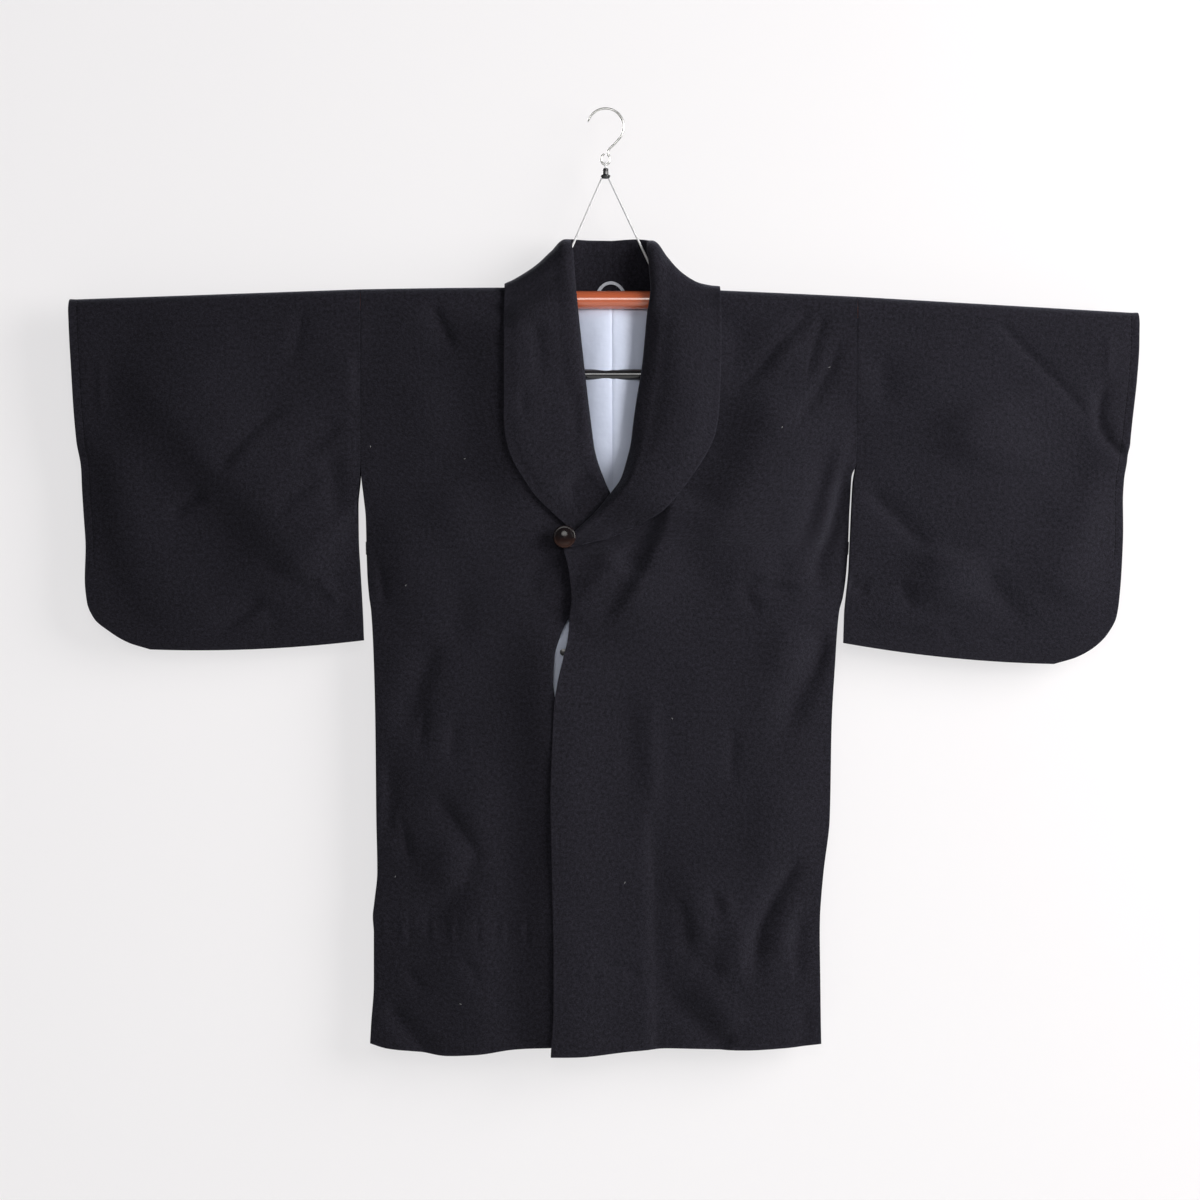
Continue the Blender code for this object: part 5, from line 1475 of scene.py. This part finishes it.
class KIMONO_OT_collar(bpy.types.Operator):
    """Make the two halves of the rolled shawl collar"""

    bl_idname = "kimono.collar"
    bl_label = "Shawl collar"

    def execute(self, context):
        wool = once("wool_cloth", wool_finish, context.scene.kimono_coat.wool_colour)
        for side in ("left", "right"):
            points = collar_points(side)
            across = across_length(points)
            to_edge = across[:, -1:] - across
            thick = 1.0 - ease((to_edge - 1.5) / 9.0)
            ways = {"painted_highlight_edge_way": to_edge, "stitch_way": np.full(to_edge.shape, OPEN_STITCH)}
            piece = cloth_piece("coat_collar_" + side, points, COLLAR_WALL, ways, thick, COLLAR_EDGE_WALL,
                                COLLAR_ROUNDING)
            finish_piece(piece, wool, ["collar_" + side])
        return {"FINISHED"}


class KIMONO_OT_lining(bpy.types.Operator):
    """Make the back lining and the hanging loop at the neck"""

    bl_idname = "kimono.lining"
    bl_label = "Lining and loop"

    def execute(self, context):
        settings = context.scene.kimono_coat
        silk = lining_finish(settings.lining_colour)
        for side in ("left", "right"):
            points = lining_points(side)
            piece = cloth_piece("coat_lining_" + side, points, LINING_WALL, {}, bevel=0.3)
            finish_piece(piece, silk, ["lining_" + side])
        self.loop(settings)
        return {"FINISHED"}

    def loop(self, settings):
        """A flat tape that stands in an arch at the back neck, its ends tucked behind the bar."""
        width, half_span, rise, steps = 3.8, 16.0, 15.0, 40
        centre = np.array([6.5, BAR_RADIUS + 0.1, -222.0])
        turns = np.linspace(0.0, math.pi, steps)
        outward = np.stack([-np.cos(turns), np.zeros(steps), np.sin(turns)], axis=-1)
        lean = 0.8 * np.sin(turns) ** 2
        middle = centre + outward * np.array([half_span, 0.0, rise]) + np.stack(
            [0.9 * np.sin(2.0 * turns), -lean, np.zeros(steps)], axis=-1)
        shares = np.linspace(-0.5, 0.5, 7)
        curl = 0.25 * (shares * 2.0) ** 2
        points = middle[:, None, :] + outward[:, None, :] * (width * shares)[None, :, None]
        points[..., 1] -= curl[None, :]
        piece = cloth_piece("neck_loop", points, 0.9, {}, bevel=0.25)
        finish_piece(piece, tape_finish(settings.tape_colour), ["hanging_loop"])


def seat_of(node):
    """A solid's middle x, its front and back y and its middle z, in millimetres."""
    low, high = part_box(node)
    return (low[0] + high[0]) / 2.0 / MM, low[1] / MM, high[1] / MM, (low[2] + high[2]) / 2.0 / MM


class KIMONO_OT_fastenings(bpy.types.Operator):
    """Make the front button, its thread shank, the press stud and the thread tacks at the sides"""

    bl_idname = "kimono.fastenings"
    bl_label = "Button, stud and tacks"

    def execute(self, context):
        settings = context.scene.kimono_coat
        thread = thread_finish()
        self.button(settings)
        self.shank(thread)
        self.stud()
        self.tacks(thread)
        return {"FINISHED"}

    def button(self, settings):
        x, _, back, z = seat_of("front_button")
        profile = [(0.0, 6.6), (2.0, 6.58), (4.0, 6.45), (6.0, 6.2), (8.0, 5.75), (9.6, 5.25), (10.7, 4.85),
                   (11.2, 4.78), (11.7, 4.85), (12.3, 4.75), (12.9, 4.35), (13.35, 3.7), (13.58, 2.9),
                   (13.55, 2.0), (13.2, 1.2), (12.4, 0.5), (11.2, 0.1), (9.0, 0.0), (0.0, 0.0)]
        piece = turned_piece("big_button", profile, (x, back, z), (0.0, -1.0, 0.0), 96, 50.0)
        finish_piece(piece, button_finish(settings.button_colour), ["front_button"])

    def shank(self, thread):
        x, front, back, z = seat_of("button_shank")
        strands = []
        for turn in np.linspace(0.0, 2.0 * math.pi, 7)[:-1]:
            places = np.linspace(0.0, 1.0, 9)
            angle = turn + 1.1 * places
            reach = 1.35 - 0.3 * np.sin(math.pi * places)
            route = np.stack([x + reach * np.cos(angle), mix(front, back, places), z + reach * np.sin(angle)],
                             axis=-1)
            strands.append(tube_piece("strand", route, 0.62, (1.0, 0.0, 0.0), 8))
        finish_piece(joined("shank_threads", strands), thread, ["button_shank"])

    def stud(self):
        x, front, _, z = seat_of("press_stud")
        profile = [(0.0, 2.6), (0.9, 2.58), (1.4, 2.3), (1.7, 1.7), (2.0, 1.35), (2.8, 1.3), (3.5, 1.15),
                   (3.9, 0.8), (4.0, 0.4), (3.8, 0.1), (3.4, 0.0), (0.0, 0.0)]
        piece = turned_piece("small_stud", profile, (x, front, z), (0.0, 1.0, 0.0), 48)
        finish = moulded_finish("stud_moulding", (0.02, 0.02, 0.022), 0.3, 0.3)
        finish_piece(piece, finish, ["press_stud"])

    def tacks(self, thread):
        """A short wrapped bar of thread where each side seam starts."""
        strands = []
        for side in ("left", "right"):
            z = np.linspace(*SIDE_TACK, 40)
            middle = side_x[side](z) + STEP[side] * 0.4
            coil = 2.0 * math.pi * (z - SIDE_TACK[1]) / 1.9
            for start in (0.0, math.pi):
                route = np.stack([middle + 0.7 * np.cos(coil + start), 0.9 * np.sin(coil + start), z], axis=-1)
                strands.append(tube_piece("strand", route, 0.55, (0.0, 1.0, 0.0), 8))
        finish_piece(joined("side_tacks", strands), thread)


class KIMONO_OT_hanger(bpy.types.Operator):
    """Make the long bar, the thin bar, the cords, the ferrule and the wire hook"""

    bl_idname = "kimono.hanger"
    bl_label = "Hanger"

    def execute(self, context):
        settings = context.scene.kimono_coat
        self.bars(settings)
        self.cords()
        self.ferrule()
        self.hook()
        return {"FINISHED"}

    def bar(self, name, left, right, radius, end_scale, rows, sides, height):
        """A bar from left to right whose ends are rounded off."""
        ends = np.array([0.0, 0.25, 0.9, 2.0, 3.6, 6.0])
        round_end = np.sqrt(1.0 - (1.0 - ends / ends[-1]) ** 2)
        ends = ends * end_scale
        inset = 16.0 * end_scale
        straight = np.linspace(left + inset, right - inset, rows)
        x = np.concatenate([left + ends, straight, right - ends[::-1]])
        scale = np.concatenate([round_end, np.ones(rows), round_end[::-1]])
        route = np.stack([x, np.zeros(len(x)), height(x)], axis=-1)
        return tube_piece(name, route, np.maximum(radius * scale, 0.001), (0.0, 1.0, 0.0), sides)

    def bars(self, settings):
        piece = self.bar("hanger_bar", -612.0, 606.0, BAR_RADIUS, 1.0, 150, 64, bar_height)
        gloss = moulded_finish("bar_gloss", settings.bar_colour, 0.3, 1.0)
        finish_piece(piece, gloss, ["upper_bar"])
        piece = self.bar("thin_bar", -178.0, 182.0, 6.6, 0.5, 60, 40, lambda x: np.full(len(x), -318.2))
        finish_piece(piece, black_plastic(), ["lower_bar"])

    def cords(self):
        white = white_braid()
        for side, bar_x in (("left", -63.0), ("right", 67.6)):
            top_x = math.copysign(4.3, bar_x)
            end = float(bar_height(bar_x)) + BAR_RADIUS + 0.9
            share = np.linspace(0.0, 1.0, 40)
            route = np.stack([mix(top_x, bar_x, share), np.zeros(40), mix(-82.9, end, share)], axis=-1)
            piece = tube_piece("cord_down_" + side, route, 1.3, (0.0, 1.0, 0.0), 16)
            finish_piece(piece, white, ["cord_upper_" + side])
            start = float(bar_height(bar_x)) - BAR_RADIUS - 0.3
            route = np.stack([np.full(24, bar_x), np.zeros(24), np.linspace(start, -311.3, 24)], axis=-1)
            piece = tube_piece("cord_below_" + side, route, 1.3, (0.0, 1.0, 0.0), 16)
            finish_piece(piece, white, ["cord_lower_" + side])

    def ferrule(self):
        profile = [(0.0, -70.6), (2.2, -70.6), (3.0, -70.9), (3.4, -71.6), (3.45, -73.2), (3.1, -73.7),
                   (3.1, -74.2), (3.45, -74.7), (3.4, -78.0), (3.9, -78.5), (5.1, -78.8), (5.7, -79.3),
                   (5.8, -79.9), (5.4, -80.7), (4.9, -81.4), (4.7, -82.2), (4.3, -82.6), (0.0, -82.6)]
        piece = turned_piece("cord_ferrule", profile, (0.0, 0.0, 0.0), (0.0, 0.0, 1.0), 56)
        finish_piece(piece, black_plastic(), ["ferrule"])

    def hook(self):
        steel = steel_finish()
        wire, curve = 1.3, 21.8
        route = []
        for turn in np.radians(range(166, -45, -7)):
            route.append((curve * math.cos(turn), 0.0, wire - curve + curve * math.sin(turn)))
        neck = [(13.2, -38.4), (10.6, -41.6), (7.6, -44.4), (5.0, -46.8), (3.2, -49.2), (2.4, -51.2)]
        route += [(x, 0.0, z) for x, z in neck]
        eye_z, half_width, half_height = -59.6, 5.2, 6.6
        for turn in np.radians(range(52, -222, -12)):
            route.append((half_width * math.cos(turn), 0.0, eye_z + half_height * math.sin(turn)))
        route.append((-1.6, 0.0, -53.2))
        radii = [0.5 * wire, 0.85 * wire] + [wire] * (len(route) - 3) + [0.8 * wire]
        piece = tube_piece("wire_hook", route, radii, (0.0, 1.0, 0.0), 20)
        finish_piece(piece, steel, ["hook"])
        low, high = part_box("cord_loop")
        leg, top, bottom = 1.3, high[2] / MM - 1.0, low[2] / MM
        reach = 2.8
        turns = np.radians(np.arange(205.0, -30.0, -10.0))
        arch = [(0.0, reach * math.cos(turn), top - reach + reach * math.sin(turn)) for turn in turns]
        loop = [(0.0, -leg, bottom)] + arch + [(0.0, leg, bottom)]
        piece = tube_piece("cord_eye", loop, 1.0, (1.0, 0.0, 0.0), 14)
        finish_piece(piece, white_braid(), ["cord_loop"])


# A pale fibre that clings to the wool: where, how long, and which way it lies, in degrees.
Fleck = namedtuple("Fleck", "piece x z length lies")
FLECKS = rows_of(Fleck, [
    ("right", 268.0, -310.0, 2.6, 20.0),
    ("right", 210.0, -383.0, 2.2, 75.0),
    ("right", 80.0, -730.0, 2.4, 130.0),
    ("right", 23.0, -926.0, 2.8, 60.0),
    ("left", -281.0, -405.0, 2.4, 100.0),
    ("left", -168.0, -420.0, 2.2, 15.0),
    ("left", -239.0, -571.0, 2.6, 50.0),
    ("left", -252.0, -920.0, 2.2, 80.0),
    ("left", -173.0, -1071.0, 2.6, 160.0),
])


class KIMONO_OT_lint(bpy.types.Operator):
    """Lay a few pale fibres on the wool"""

    bl_idname = "kimono.lint"
    bl_label = "Lint"

    def execute(self, context):
        chance = random.Random(11)
        fibres = []
        for fleck in FLECKS:
            angle = math.radians(fleck.lies)
            shares = np.linspace(-0.5, 0.5, 7)
            bend = chance.uniform(-0.5, 0.5) * (1.0 - (2.0 * shares) ** 2)
            x = fleck.x + fleck.length * shares * math.cos(angle) - bend * math.sin(angle)
            z = fleck.z + fleck.length * shares * math.sin(angle) + bend * math.cos(angle)
            y = front_surface(fleck.piece, x, z) - 0.5 * WOOL_WALL - 0.22
            radii = 0.24 * np.sqrt(np.clip(1.0 - (2.0 * shares) ** 2, 0.08, 1.0))
            fibres.append(tube_piece("fibre", np.stack([x, y, z], axis=-1), radii, (0.0, 1.0, 0.0), 6))
        made = Finish("lint_fibre", {"Roughness": 0.9})
        speckle = made.noise(made.places(), 3000.0, 2.0)
        made.set("Base Color", made.mixed((0.5 + speckle).clamped(), (0.30, 0.30, 0.31, 1.0),
                                          (0.55, 0.55, 0.56, 1.0)))
        finish_piece(joined("lint", fibres), made.material)
        return {"FINISHED"}


class KIMONO_PT_coat(bpy.types.Panel):
    """The coat's settings and the steps that make it"""

    bl_idname = "KIMONO_PT_coat"
    bl_label = "Kimono Coat"
    bl_space_type = "VIEW_3D"
    bl_region_type = "UI"
    bl_category = "Kimono Coat"

    def draw(self, context):
        settings = context.scene.kimono_coat
        column = self.layout.column()
        for name in KimonoCoatSettings.__annotations__:
            column.prop(settings, name)
        column.separator()
        for step in STEPS:
            column.operator(step.bl_idname, text=step.bl_label)


STEPS = (KIMONO_OT_stage, KIMONO_OT_hanger, KIMONO_OT_body, KIMONO_OT_sleeves, KIMONO_OT_collar,
         KIMONO_OT_lining, KIMONO_OT_fastenings, KIMONO_OT_lint)


def register():
    for kind in (KimonoCoatSettings, *STEPS, KIMONO_PT_coat):
        bpy.utils.register_class(kind)
    bpy.types.Scene.kimono_coat = PointerProperty(type=KimonoCoatSettings)


def unregister():
    del bpy.types.Scene.kimono_coat
    for kind in (KIMONO_PT_coat, *reversed(STEPS), KimonoCoatSettings):
        bpy.utils.unregister_class(kind)


def main():
    register()
    bpy.ops.kimono.stage()
    bpy.ops.kimono.hanger()
    bpy.ops.kimono.body()
    bpy.ops.kimono.sleeves()
    bpy.ops.kimono.collar()
    bpy.ops.kimono.lining()
    bpy.ops.kimono.fastenings()
    bpy.ops.kimono.lint()


if __name__ == "__main__":
    main()
